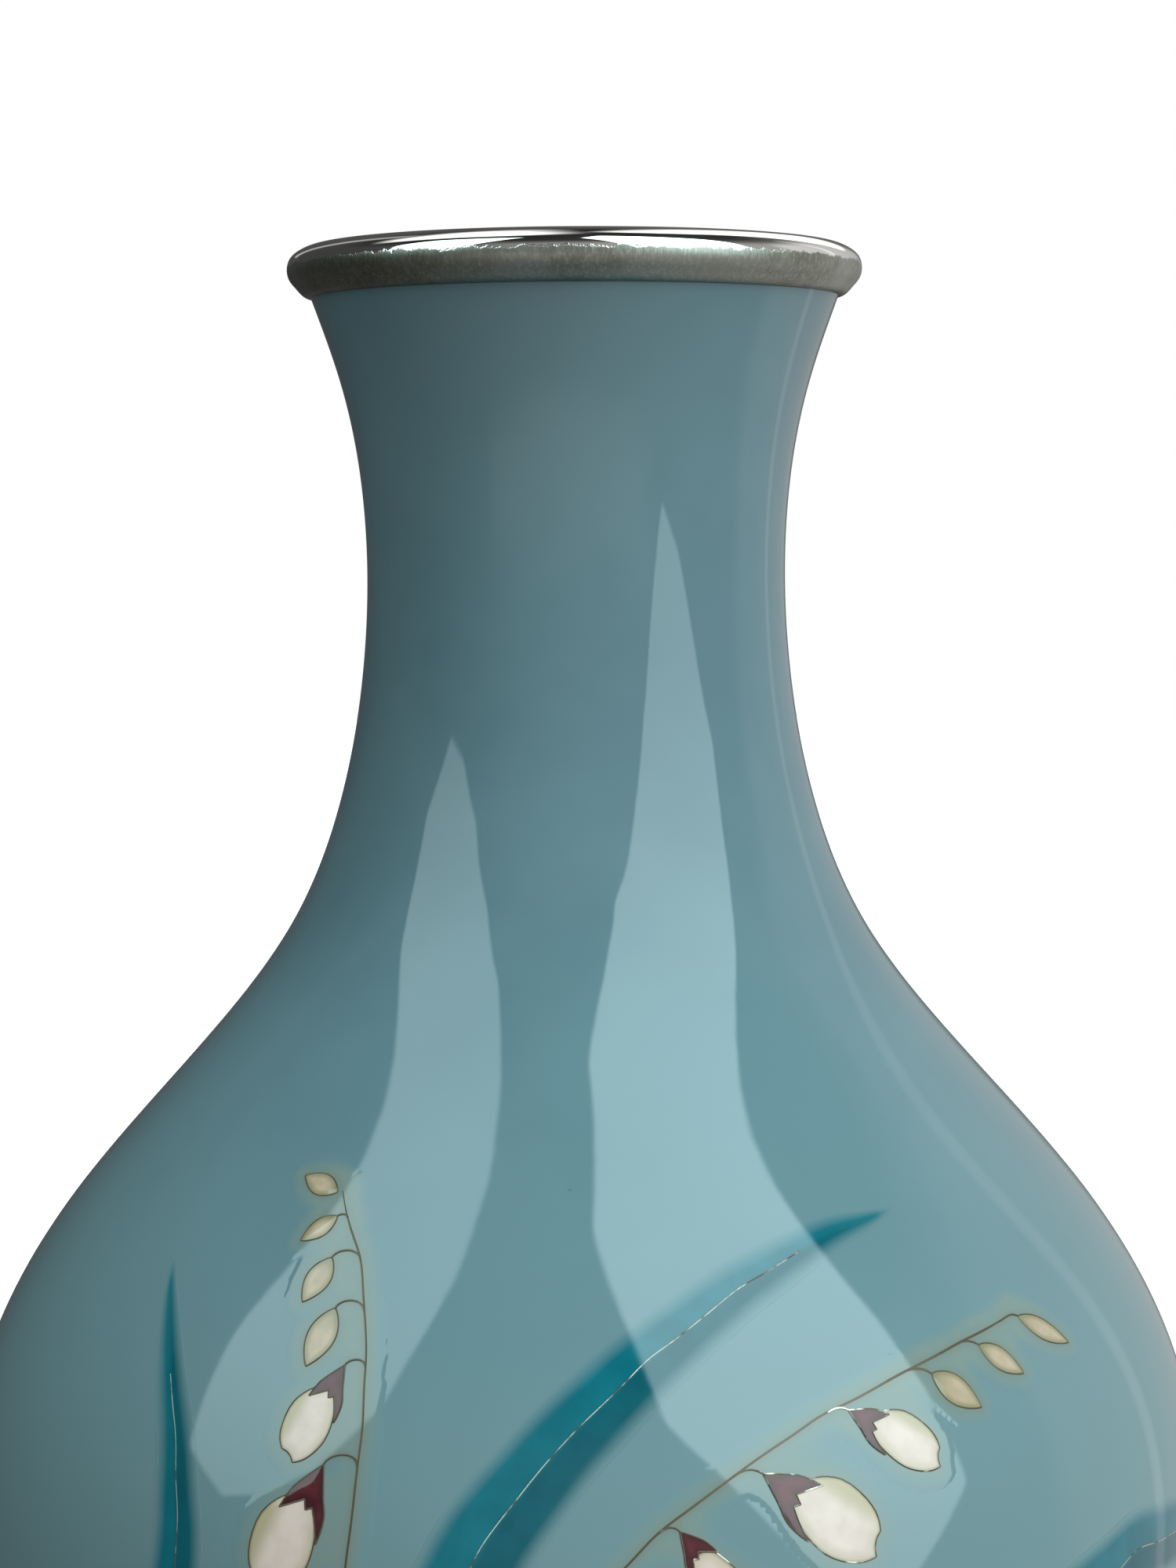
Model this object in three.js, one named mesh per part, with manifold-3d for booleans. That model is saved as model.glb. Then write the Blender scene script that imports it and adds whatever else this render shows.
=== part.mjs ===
// Wired cloisonne vase: a copper body with counter enamel inside, ground enamel outside, silvered
// rings on mouth and foot, and a freesia design of silver wires and enamel fills let into the ground.
// Millimetres, +Z up, origin at the centre of the foot's underside, design facing -Y.
// A place on the vase is (angle, height): angle in degrees to the right of the front, height in mm.
import * as THREE from 'three';
import { mergeVertices } from 'three/addons/utils/BufferGeometryUtils.js';
import Module from 'manifold-3d';

const wasm = await Module();
wasm.setup();

// ---- Driving dimensions -------------------------------------------------------------------------
const HEIGHT = 242;
const RIM_RADIUS = 33.7;
const FOOT_RADIUS = 42.4;
const SEGMENTS = 24;
const GAP = 0.3; // between shells that lie on each other
const CELL_GAP = 0.15; // between a wire and the enamel on each side of it

const GROUND_THICKNESS = 1.4;
const COPPER_THICKNESS = 1.2;
const LINING_THICKNESS = 0.9;
const COPPER_DEPTH = GROUND_THICKNESS + GAP;
const LINING_DEPTH = COPPER_DEPTH + COPPER_THICKNESS + GAP;

const GROUND_TOP = 236; // where the ground enamel meets the rim ring
const GROUND_FOOT = 9; // and the foot ring
const BELLY_SEAM = 93; // the copper shells are brazed together at the widest place
const DISC_BOTTOM = 9; // underside of the copper base disc
const WIRE_WIDTH = 0.4;
const WIRE_DEPTH = 0.7;

// Outside of the ground enamel, foot to mouth, as (radius, height), with a turned edge at each.
const OUTSIDE_EDGES = [
  [41, GROUND_FOOT], [49.6, 28], [62.5, 50], [71.1, 72], [73.7, BELLY_SEAM], [69.8, 114], [59.8, 131],
  [45.9, 147], [34.9, 161], [28.4, 176], [25.1, 194], [25, 212], [27.5, 226], [30.9, GROUND_TOP],
];
const OUTSIDE = new THREE.SplineCurve(OUTSIDE_EDGES.map((edge) => new THREE.Vector2(...edge)));
const RING_HEIGHTS = OUTSIDE_EDGES.map(([, height]) => height);
const PROFILE_STEPS = 600;
const profile = OUTSIDE.getPoints(PROFILE_STEPS);

// Radius and slope of the outside at a height.
function outsideAt(height) {
  let i = profile.findIndex((p) => p.y >= height);
  i = THREE.MathUtils.clamp(i < 0 ? PROFILE_STEPS : i, 1, PROFILE_STEPS);
  const [a, b] = [profile[i - 1], profile[i]];
  const slope = (b.x - a.x) / (b.y - a.y);
  return { radius: a.x + (height - a.y) * slope, slope, lean: 1 / Math.hypot(1, slope) };
}

// ---- Turned parts -------------------------------------------------------------------------------
// (radius, height) of the outside sunk by a depth, at a height measured along the outside.
function sunk(height, depth) {
  const { radius, slope, lean } = outsideAt(height);
  return new THREE.Vector2(radius - depth * lean, height + depth * slope * lean);
}

// The turned edges of a wall at a depth, from one height to another.
function wall(from, to, depth) {
  const clear = 1; // no edge of the profile is kept nearer than this to an end
  const within = RING_HEIGHTS.filter((height) => height > from + clear && height < to - clear);
  return [from, ...within, to].map((height) => sunk(height, depth));
}

// A solid of revolution from (radius, height) points that run anticlockwise.
function turned(points) {
  const loop = points.map((p) => (p.isVector2 ? p : new THREE.Vector2(...p)));
  const onAxis = loop[0].x === 0 && loop[loop.length - 1].x === 0;
  const closed = onAxis ? loop : [...loop, loop[0]];
  return new THREE.LatheGeometry(closed, SEGMENTS).rotateX(Math.PI / 2);
}

// A shell between two depths: up the outside and down the inside.
function shell(from, to, outerDepth, innerDepth) {
  return [...wall(from, to, outerDepth), ...wall(from, to, innerDepth).reverse()];
}

// ---- Solids from and to geometry ----------------------------------------------------------------
const MERGE_DISTANCE = 1e-3;

function solid(geometry) {
  const bare = new THREE.BufferGeometry()
    .setAttribute('position', geometry.getAttribute('position'))
    .setIndex(geometry.getIndex());
  const merged = mergeVertices(bare, MERGE_DISTANCE);
  const mesh = new wasm.Mesh({
    numProp: 3,
    vertProperties: new Float32Array(merged.attributes.position.array),
    triVerts: new Uint32Array(merged.index.array),
  });
  return new wasm.Manifold(mesh);
}

function geometryOf(manifold) {
  const mesh = manifold.getMesh();
  return new THREE.BufferGeometry()
    .setAttribute('position', new THREE.BufferAttribute(mesh.vertProperties, 3))
    .setIndex(new THREE.BufferAttribute(mesh.triVerts, 1));
}

// ---- Places on the vase -------------------------------------------------------------------------
const place = (angle, height) => new THREE.Vector2(angle, height);
const places = (list) => list.map(([angle, height]) => place(angle, height));

// Millimetres along the surface, right and up, to a step in angle and height, and back.
function step(at, right, up) {
  const { radius, lean } = outsideAt(at.y);
  return place(at.x + THREE.MathUtils.radToDeg(right / radius), at.y + up * lean);
}
function millimetres(from, to) {
  const { radius, lean } = outsideAt((from.y + to.y) / 2);
  return new THREE.Vector2(THREE.MathUtils.degToRad(to.x - from.x) * radius, (to.y - from.y) / lean);
}

// The point of space at a depth under a place, on the flat facets of the turned ground.
function pointAt(at, depth) {
  const i = THREE.MathUtils.clamp(
    RING_HEIGHTS.findIndex((height) => height >= at.y), 1, RING_HEIGHTS.length - 1,
  );
  const [low, high] = [RING_HEIGHTS[i - 1], RING_HEIGHTS[i]];
  const { x, y } = sunk(low, depth).lerp(sunk(high, depth), (at.y - low) / (high - low));
  const facet = 360 / SEGMENTS;
  const fromMiddle = THREE.MathUtils.euclideanModulo(at.x, facet) - facet / 2;
  const flat = Math.cos(Math.PI / SEGMENTS) / Math.cos(THREE.MathUtils.degToRad(fromMiddle));
  const angle = THREE.MathUtils.degToRad(at.x);
  return new THREE.Vector3(x * flat * Math.sin(angle), -x * flat * Math.cos(angle), y);
}

// A closed outline moved outwards (or inwards, when negative) by millimetres.
const SHARPEST_MITER = 1.7;
function grown(outline, amount) {
  const n = outline.length;
  return outline.map((at, i) => {
    const before = millimetres(outline[(i + n - 1) % n], at).normalize();
    const after = millimetres(at, outline[(i + 1) % n]).normalize();
    const along = before.clone().add(after).normalize();
    const reach = amount * Math.min(1 / Math.abs(along.dot(after)), SHARPEST_MITER);
    return step(at, along.y * reach, -along.x * reach);
  });
}

// Places along a smooth line through the given ones.
function smooth(through, count) {
  return new THREE.SplineCurve(through).getSpacedPoints(count);
}

// The same line with both ends moved out by millimetres.
function lengthened(line, by) {
  const longer = [...line];
  const moved = (end, before) => {
    const along = millimetres(before, end).normalize();
    return step(end, along.x * by, along.y * by);
  };
  longer[0] = moved(line[0], line[1]);
  longer[line.length - 1] = moved(line[line.length - 1], line[line.length - 2]);
  return longer;
}

// The two edges of a band of changing width along a line.
function edges(line, widthAt) {
  const last = line.length - 1;
  const side = (sign) =>
    line.map((at, i) => {
      const along = millimetres(line[Math.max(i - 1, 0)], line[Math.min(i + 1, last)]).normalize();
      const half = (sign * widthAt(i / last)) / 2;
      return step(at, -along.y * half, along.x * half);
    });
  return [side(1), side(-1)];
}

// ---- Cutters through the ground -----------------------------------------------------------------
// Every cell of the design is a layer of the vase's wall inside an upright cutter, and every pocket
// in the ground is a deeper layer inside a slightly wider cutter.
const CUT_ABOVE = -1.5; // depths between which a cutter stands, from outside the vase
const CUT_BELOW = 1.9; // to under the ground
const POCKET_DEPTH = WIRE_DEPTH + CELL_GAP;

// A cutter under an outline that runs anticlockwise.
function inside(outline) {
  const n = outline.length;
  const middle = outline.reduce((sum, p) => sum.add(p), place(0, 0)).divideScalar(n);
  const flat = outline.map((p) => millimetres(middle, p));
  const top = outline.map((p) => pointAt(p, CUT_ABOVE));
  const bottom = outline.map((p) => pointAt(p, CUT_BELOW));
  const index = [];
  for (const [a, b, c] of THREE.ShapeUtils.triangulateShape(flat, [])) {
    index.push(a, b, c, a + n, c + n, b + n);
  }
  for (let i = 0; i < n; i++) {
    const j = (i + 1) % n;
    index.push(i, i + n, j, j, i + n, j + n);
  }
  return solid(new THREE.BufferGeometry().setFromPoints([...top, ...bottom]).setIndex(index));
}

// A cutter between two edges, closed into a ring when looped.
function between([left, right], looped = false) {
  const points = [];
  left.forEach((at, i) => {
    points.push(pointAt(at, CUT_ABOVE), pointAt(right[i], CUT_ABOVE));
    points.push(pointAt(right[i], CUT_BELOW), pointAt(at, CUT_BELOW));
  });
  const index = [];
  const n = left.length;
  for (let i = 0; i < (looped ? n : n - 1); i++) {
    for (let side = 0; side < 4; side++) {
      const [a, b] = [4 * i + side, 4 * i + ((side + 1) % 4)];
      const [c, d] = [4 * ((i + 1) % n) + side, 4 * ((i + 1) % n) + ((side + 1) % 4)];
      index.push(a, b, d, a, d, c);
    }
  }
  if (!looped) {
    const e = 4 * (n - 1);
    index.push(0, 2, 1, 0, 3, 2, e, e + 1, e + 2, e, e + 2, e + 3);
  }
  return solid(new THREE.BufferGeometry().setFromPoints(points).setIndex(index));
}

// A wire along a line, or the room for it when it is made wider by extra on each side.
function wire(line, extra = 0) {
  return between(edges(lengthened(line, extra), () => WIRE_WIDTH + 2 * extra));
}
const wireRoom = (line) => wire(line, CELL_GAP);

function wireLoop(outline) {
  const half = WIRE_WIDTH / 2;
  return between([grown(outline, -half), grown(outline, half)], true);
}
const INSIDE_WIRE = -WIRE_WIDTH / 2 - CELL_GAP;
const AROUND_WIRE = WIRE_WIDTH / 2 + CELL_GAP;

// ---- Colours ------------------------------------------------------------------------------------
const material = (color, roughness, metalness) =>
  new THREE.MeshStandardMaterial({ color, roughness, metalness });
const MATERIALS = {
  silver: material(0xb9bab6, 0.18, 1),
  copper: material(0xb4694a, 0.4, 1),
  wire: material(0xa59a7e, 0.35, 1),
  ground: material(0x86adb5, 0.06, 0),
  lining: material(0x8fb0b4, 0.12, 0),
  cream: material(0xe2dccb, 0.08, 0),
  young: material(0xcbbf97, 0.08, 0),
  bract: material(0x4f1418, 0.08, 0),
  leaf: material(0x0c5a6b, 0.08, 0),
};

const vase = new THREE.Group();
vase.name = 'cloisonne_vase';
function add(name, geometry, materialName) {
  const mesh = new THREE.Mesh(geometry, MATERIALS[materialName]);
  mesh.name = name;
  vase.add(mesh);
}
// Adds the largest body that is left of a solid once its neighbours have cut it.
function addLargest(name, manifold, materialName) {
  const bodies = manifold.decompose().sort((a, b) => b.volume() - a.volume());
  add(name, geometryOf(bodies[0]), materialName);
}

// A layer of the vase's wall between two depths.
const layer = (from, to) => solid(turned(shell(GROUND_FOOT, GROUND_TOP, from, to)));
const CELL_LAYER = layer(0, WIRE_DEPTH);
const addCell = (name, cutter, materialName) =>
  addLargest(name, cutter.intersect(CELL_LAYER), materialName);

// ---- Copper -------------------------------------------------------------------------------------
const COLLAR_TOP = 239.4; // the copper mouth runs up into the rim ring
const COLLAR_FLARE = 1.3; // and leans out
const FOOT_WALL_BOTTOM = 2.6; // the copper foot wall stands in the foot ring's groove
const FOOT_WALL_TOP = GROUND_FOOT + 0.4;
const FOOT_WALL_RADIUS = 39.4;
const FOOT_WALL_INSIDE = FOOT_WALL_RADIUS - COPPER_THICKNESS;
const DISC_RADIUS = FOOT_WALL_INSIDE - GAP;

function copperUpperShell() {
  const bottom = BELLY_SEAM + GAP / 2;
  const outer = wall(bottom, GROUND_TOP, COPPER_DEPTH);
  const inner = wall(bottom, GROUND_TOP, COPPER_DEPTH + COPPER_THICKNESS);
  const collar = [outer, inner].map((line) => [line[line.length - 1].x + COLLAR_FLARE, COLLAR_TOP]);
  add('copper_upper_shell', turned([...outer, ...collar, ...inner.reverse()]), 'copper');
}

function copperLowerShell() {
  const top = BELLY_SEAM - GAP / 2;
  const outer = wall(GROUND_FOOT + 3, top, COPPER_DEPTH);
  const inner = wall(GROUND_FOOT + 5, top, COPPER_DEPTH + COPPER_THICKNESS);
  const points = [
    [FOOT_WALL_RADIUS, FOOT_WALL_BOTTOM],
    [FOOT_WALL_RADIUS, FOOT_WALL_TOP],
    ...outer,
    ...inner.reverse(),
    [FOOT_WALL_INSIDE, FOOT_WALL_TOP],
    [FOOT_WALL_INSIDE, FOOT_WALL_BOTTOM],
  ];
  add('copper_lower_shell', turned(points), 'copper');
}

function copperBaseDisc() {
  const top = DISC_BOTTOM + COPPER_THICKNESS;
  const points = [[0, DISC_BOTTOM], [DISC_RADIUS, DISC_BOTTOM], [DISC_RADIUS, top], [0, top]];
  add('copper_base_disc', turned(points), 'copper');
}

// ---- Counter enamel -----------------------------------------------------------------------------
function baseEnamel() {
  const top = DISC_BOTTOM - GAP;
  const bottom = top - LINING_THICKNESS;
  const bevel = 0.6;
  const points = [
    [0, bottom], [DISC_RADIUS - bevel, bottom], [DISC_RADIUS, bottom + bevel], [DISC_RADIUS, top], [0, top],
  ];
  add('base_enamel', turned(points), 'lining');
}

function lining() {
  const top = GROUND_TOP - 2.5;
  const floor = DISC_BOTTOM + COPPER_THICKNESS + GAP;
  const outer = wall(GROUND_FOOT + 9, top, LINING_DEPTH);
  const inner = wall(GROUND_FOOT + 12, top, LINING_DEPTH + LINING_THICKNESS);
  const points = [
    [0, floor],
    [DISC_RADIUS - 2, floor],
    ...outer,
    ...inner.reverse(),
    [DISC_RADIUS - 3, floor + LINING_THICKNESS],
    [0, floor + LINING_THICKNESS],
  ];
  add('counter_enamel_lining', turned(points), 'lining');
}

// ---- Rings --------------------------------------------------------------------------------------
// A rounded bead with a groove underneath for the copper mouth.
function rimRing() {
  const bottom = GROUND_TOP + GAP;
  const grooveTop = COLLAR_TOP + GAP;
  const [lip, grooveInside, grooveOutside] = [26.3, 27.4, 30.8];
  const points = [
    [grooveOutside, bottom], [31.5, bottom], [32.7, 237.3], [33.5, 238.6], [RIM_RADIUS, 239.7],
    [33.4, 240.8], [32.4, 241.6], [30.6, HEIGHT], [28.4, 241.7], [26.9, 240.9], [lip, 239.6],
    [lip, bottom], [grooveInside, bottom], [grooveInside, grooveTop], [grooveOutside, grooveTop],
  ];
  add('rim_ring', turned(points), 'silver');
}

// A plain band with a groove on top for the copper foot wall.
function footRing() {
  const top = GROUND_FOOT - GAP;
  const insideTop = DISC_BOTTOM - 2;
  const grooveBottom = FOOT_WALL_BOTTOM - GAP;
  const grooveOutside = FOOT_WALL_RADIUS + GAP;
  const grooveInside = FOOT_WALL_INSIDE - GAP;
  const inside = grooveInside - 1.2;
  const bevel = 0.5;
  const points = [
    [inside, bevel], [inside + bevel, 0], [FOOT_RADIUS - bevel, 0], [FOOT_RADIUS, bevel],
    [FOOT_RADIUS, 3.4], [41.6, 5], [41.3, 7.2], [41.1, top], [grooveOutside, top],
    [grooveOutside, grooveBottom], [grooveInside, grooveBottom], [grooveInside, insideTop],
    [inside, insideTop],
  ];
  add('foot_ring', turned(points), 'silver');
}

// ---- Stems --------------------------------------------------------------------------------------
// Every line of the design is a list of places, each an angle and a height.
const STEMS = {
  stem_left: [[-28.6, 139.2], [-25, 135.6], [-23.3, 133.4], [-21.4, 129.2], [-19.8, 124.1],
    [-18.9, 115], [-19.2, 105.3], [-19.6, 90], [-18.6, 68], [-15.5, 44], [-12, 24]],
  stem_right: [[46.4, 124.9], [38.1, 123.7], [30.8, 122], [23.9, 120], [17.7, 117.5],
    [11.8, 113.6], [8.1, 111], [2.9, 106.2], [-2.4, 96], [-4.6, 80], [-3.4, 58], [-0.5, 26]],
};
const STEM_STEPS = 15;

function stems() {
  let taken = null;
  for (const [name, line] of Object.entries(STEMS)) {
    const path = smooth(places(line), STEM_STEPS);
    addCell(`${name}_wire`, taken ? wire(path).subtract(taken) : wire(path), 'wire');
    taken = taken ? taken.add(wireRoom(path)) : wireRoom(path);
  }
  return taken;
}

// ---- Buds ---------------------------------------------------------------------------------------
// Where each grows from and points to, its width, and where its stalk leaves the stem.
const BUDS = [
  { name: 'bud_left_1', root: [-28.9, 139.1], tip: [-34.7, 140.3], width: 2.6 },
  { name: 'bud_left_2', root: [-27.7, 137.1], tip: [-31.2, 134.3], width: 2.3, joint: [-26.6, 137.2] },
  { name: 'bud_left_3', root: [-26.6, 133.4], tip: [-28.2, 128.8], width: 3, joint: [-24.2, 134.3] },
  { name: 'bud_left_4', root: [-24.4, 129], tip: [-25.8, 123.2], width: 3.3, joint: [-21.4, 129.2] },
  { name: 'bud_left_5', root: [-22.4, 122.7], tip: [-25.2, 114.1], width: 5.4, joint: [-19.8, 124.1] },
  { name: 'bud_left_6', root: [-22.7, 113], tip: [-26, 101.4], width: 7.2, joint: [-18.9, 115] },
  { name: 'bud_right_1', root: [46.8, 124.8], tip: [52.8, 120.7], width: 2.6 },
  { name: 'bud_right_2', root: [40, 123.2], tip: [44.5, 119.3], width: 2.7, joint: [38.1, 123.7] },
  { name: 'bud_right_3', root: [33.4, 121.5], tip: [37.9, 117.2], width: 3.3, joint: [30.8, 122] },
  { name: 'bud_right_4', root: [25, 118.5], tip: [31.9, 112.7], width: 5.6, joint: [20, 118.5] },
  { name: 'bud_right_5', root: [16.6, 113.1], tip: [24.5, 105.3], width: 7.6, joint: [11.8, 113.6] },
];
const WIDTH_WITH_BRACT = 5; // a bud wider than this has a bract and is cream, a smaller one is green

// Turns points given along and across a line from root to tip into places.
function alongAxis({ root, tip }) {
  const foot = place(...root);
  const axis = millimetres(foot, place(...tip));
  const length = axis.length();
  const [u, v] = [axis.x / length, axis.y / length];
  return {
    length,
    at: (along, across) => step(foot, u * along - v * across, v * along + u * across),
  };
}

// An outline, anticlockwise, from shares of its length and the half width at each.
function petalShape(at, length, shares, halfWidth) {
  const right = shares.map((t) => at(t * length, -halfWidth(t)));
  const left = shares.map((t) => at(t * length, halfWidth(t))).reverse();
  return [...right, at(length, 0), ...left];
}

function budOutline(bud) {
  const { length, at } = alongAxis(bud);
  const shares = [0.18, 0.42, 0.66, 0.86];
  const halfWidth = (t) => (bud.width / 2) * Math.sin(Math.PI * t ** 0.9) ** 0.75;
  return [at(0, 0), ...petalShape(at, length, shares, halfWidth)];
}

// A bract clasps the root with two prongs. Its points are in half widths of the bud.
function bractOutline(bud) {
  const { at } = alongAxis(bud);
  const unit = bud.width / 2;
  return [
    [-0.4, 0], [0.3, -0.95], [1.15, -1.3], [0.5, -0.35], [0.75, 0.1], [0.5, 0.5], [1, 1.25],
    [0.3, 0.95],
  ].map(([along, across]) => at(along * unit, across * unit));
}

// A stalk arches up from the stem and over to the root.
function stalk({ joint, root }) {
  const arch = 0.16;
  const from = place(...joint);
  const across = millimetres(from, place(...root));
  const middle = step(from, across.x / 2, across.y / 2 + arch * across.length());
  return smooth([from, middle, place(...root)], 3);
}

// Each spray adds its cells where none is yet, and gives back all the room that is taken then.
function addBract(flower, taken) {
  const outline = bractOutline(flower);
  addCell(`${flower.name}_bract`, inside(outline).subtract(taken), 'bract');
  return taken.add(inside(grown(outline, CELL_GAP)));
}

function buds(takenByStems) {
  let taken = takenByStems;
  for (const bud of BUDS) {
    const outline = budOutline(bud);
    const mature = bud.width > WIDTH_WITH_BRACT;
    let outlineWire = wireLoop(outline);
    let room = inside(grown(outline, AROUND_WIRE));
    if (bud.joint) {
      const line = stalk(bud);
      outlineWire = outlineWire.add(wire(line).subtract(inside(outline)));
      room = room.add(wireRoom(line));
    }
    if (mature) {
      taken = addBract(bud, taken);
    }
    const enamel = inside(grown(outline, INSIDE_WIRE));
    addCell(`${bud.name}_wire`, outlineWire.subtract(taken), 'wire');
    addCell(`${bud.name}_enamel`, enamel.subtract(taken), mature ? 'cream' : 'young');
    taken = taken.add(room);
  }
  return taken;
}

// ---- Open flowers -------------------------------------------------------------------------------
// Tepals in mm from the root, from the front one, which carries the tube, to the one at the back.
const TEPALS = {
  front: { turn: 0, base: 0, length: 20.5, width: 8.2, waist: 1.9 },
  side: { turn: 40, base: 6.5, length: 13.5, width: 7.4, waist: 0.8 },
  far: { turn: -42, base: 6.5, length: 13, width: 7.2, waist: 0.8 },
  back: { turn: 20, base: 9, length: 13.5, width: 7.4, waist: 0.8 },
};
const BLOSSOMS = [
  {
    name: 'blossom_right', root: [8.6, 108.4], tip: [18.5, 91], joint: [2.9, 106.2],
    width: 5, tepals: ['front', 'side', 'far', 'back'],
  },
  {
    name: 'blossom_middle', root: [2.2, 92], tip: [10, 71], joint: [-3, 92],
    width: 5, tepals: ['front', 'side', 'far', 'back'],
  },
  {
    name: 'blossom_left', root: [-23.6, 94.5], tip: [-28.2, 75.5], joint: [-19.4, 97],
    width: 5, tepals: ['front', 'side'],
  },
];

function tepalOutline(blossom, { turn, base, length, width, waist }) {
  const { at } = alongAxis(blossom);
  const angle = THREE.MathUtils.degToRad(turn);
  const [c, s] = [Math.cos(angle), Math.sin(angle)];
  const turned = (along, across) => at(base + along * c - across * s, along * s + across * c);
  const shares = [0, 0.3, 0.54, 0.74, 0.92];
  const halfWidth = (t) => waist / 2 + ((width - waist) / 2) * Math.sin(Math.PI * t ** 1.7) ** 0.8;
  return petalShape(turned, length, shares, halfWidth);
}

function blossoms(takenByBuds) {
  let taken = takenByBuds;
  for (const blossom of BLOSSOMS) {
    const line = stalk(blossom);
    taken = addBract(blossom, taken);
    let cages = wire(line).subtract(taken);
    for (const name of blossom.tepals) {
      const outline = tepalOutline(blossom, TEPALS[name]);
      const enamel = inside(grown(outline, INSIDE_WIRE));
      addCell(`${blossom.name}_${name}_tepal`, enamel.subtract(taken), 'cream');
      cages = cages.add(wireLoop(outline).subtract(taken));
      taken = taken.add(inside(grown(outline, AROUND_WIRE)));
    }
    addCell(`${blossom.name}_wire`, cages, 'wire');
    taken = taken.add(wireRoom(line));
  }
  return taken;
}

// ---- Leaves -------------------------------------------------------------------------------------
// Each blade runs from its foot to its tip. Width is at its widest; rib says where its wire starts.
const LEAVES = [
  {
    name: 'leaf_centre', width: 8.6, rib: 0.45,
    line: [[-6.5, 20], [-9, 44], [-12.2, 70], [-12.3, 92], [-8.7, 106.8], [-3.2, 115.7], [5.8, 124.9],
      [17.8, 132], [27.1, 135], [37, 136.3]],
  },
  {
    name: 'leaf_left', width: 6.2, rib: 0.25,
    line: [[-16, 22], [-24, 40], [-31.5, 57], [-35.4, 76], [-35, 96], [-36.2, 111.5], [-42.4, 124.1],
      [-47.2, 130.6]],
  },
  {
    name: 'leaf_right', width: 9, rib: 0.3,
    line: [[4, 20], [13, 44], [24, 68], [37, 88], [48, 96.4], [58, 98.4], [68, 96], [80, 87], [90, 76]],
  },
  {
    name: 'leaf_low', width: 6.6, rib: null,
    line: [[-20, 21], [-34, 38], [-50, 52], [-66, 57], [-80, 54]],
  },
];
const SPINE_STEPS = 13;
const RIB_DEPTH = 0.4; // a rib's wire is shallow, so the blade stays whole under it

function bladeWidth(width) {
  const narrowest = 0.5;
  const footShare = 0.14; // the foot is already this far into the swelling
  const swelling = (t) => Math.sin(Math.PI * (footShare + (1 - footShare) * t)) ** 0.7;
  return (t) => Math.max(width * swelling(t), narrowest);
}

function leaves(takenBySprays) {
  const ribLayer = layer(0, RIB_DEPTH);
  const ribPocket = layer(CUT_ABOVE, RIB_DEPTH + CELL_GAP);
  let taken = takenBySprays;
  for (const { name, width, rib, line } of LEAVES) {
    const spine = smooth(places(line), SPINE_STEPS);
    const cut = bladeWidth(width);
    let blade = between(edges(spine, cut)).subtract(taken);
    if (rib !== null) {
      const ribLine = spine.slice(Math.round(rib * SPINE_STEPS), SPINE_STEPS);
      const ribWire = wire(ribLine).intersect(ribLayer);
      addLargest(`${name}_rib_wire`, ribWire.subtract(taken), 'wire');
      blade = blade.subtract(wireRoom(ribLine).intersect(ribPocket));
    }
    addCell(`${name}_enamel`, blade, 'leaf');
    const wider = edges(lengthened(spine, CELL_GAP), (t) => cut(t) + 2 * CELL_GAP);
    taken = taken.add(between(wider));
  }
  return taken;
}

// ---- Ground -------------------------------------------------------------------------------------
function ground(taken) {
  const pockets = taken.intersect(layer(CUT_ABOVE, POCKET_DEPTH));
  addLargest('ground_enamel', layer(0, GROUND_THICKNESS).subtract(pockets), 'ground');
}

copperUpperShell();
copperLowerShell();
copperBaseDisc();
baseEnamel();
lining();
rimRing();
footRing();
ground(leaves(blossoms(buds(stems()))));

export default vase;
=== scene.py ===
"""A wired cloisonne vase: glossy grey-blue ground enamel with a freesia design and silvered rings.

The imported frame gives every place. Its design cells are coarse, so each is read back from its node
as an outline on the vase, and drawn again as a fine piece. A place on the vase is (angle, height):
degrees to the right of the front, and millimetres up. Lengths are in mm until surface() turns
places into metres. The design faces -Y.
"""

import math

import bpy
import numpy as np
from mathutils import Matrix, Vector
from mathutils.geometry import delaunay_2d_cdt
from mathutils.kdtree import KDTree


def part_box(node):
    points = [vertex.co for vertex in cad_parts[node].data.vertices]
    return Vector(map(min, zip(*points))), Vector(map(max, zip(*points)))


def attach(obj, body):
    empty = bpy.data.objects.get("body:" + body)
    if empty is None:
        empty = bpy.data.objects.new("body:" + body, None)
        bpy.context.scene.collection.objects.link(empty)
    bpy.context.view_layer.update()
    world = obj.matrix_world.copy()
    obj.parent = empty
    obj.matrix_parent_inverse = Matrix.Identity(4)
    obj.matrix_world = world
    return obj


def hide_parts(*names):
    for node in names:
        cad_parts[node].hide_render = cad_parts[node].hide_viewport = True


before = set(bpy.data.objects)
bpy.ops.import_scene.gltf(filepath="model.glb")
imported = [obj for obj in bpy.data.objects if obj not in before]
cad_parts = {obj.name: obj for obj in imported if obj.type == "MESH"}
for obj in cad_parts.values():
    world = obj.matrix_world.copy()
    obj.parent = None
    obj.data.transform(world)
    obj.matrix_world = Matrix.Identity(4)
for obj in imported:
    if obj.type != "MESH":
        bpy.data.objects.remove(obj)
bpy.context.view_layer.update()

MM = 0.001
SEGMENTS = 224  # round the turned pieces

# Depths under the outside of the ground enamel, and sizes of the hidden copper.
GROUND_THICKNESS = 1.4
COPPER_DEPTH = 1.7
COPPER_THICKNESS = 1.2
LINING_DEPTH = 3.2
LINING_THICKNESS = 0.9
GAP = 0.3

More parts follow.
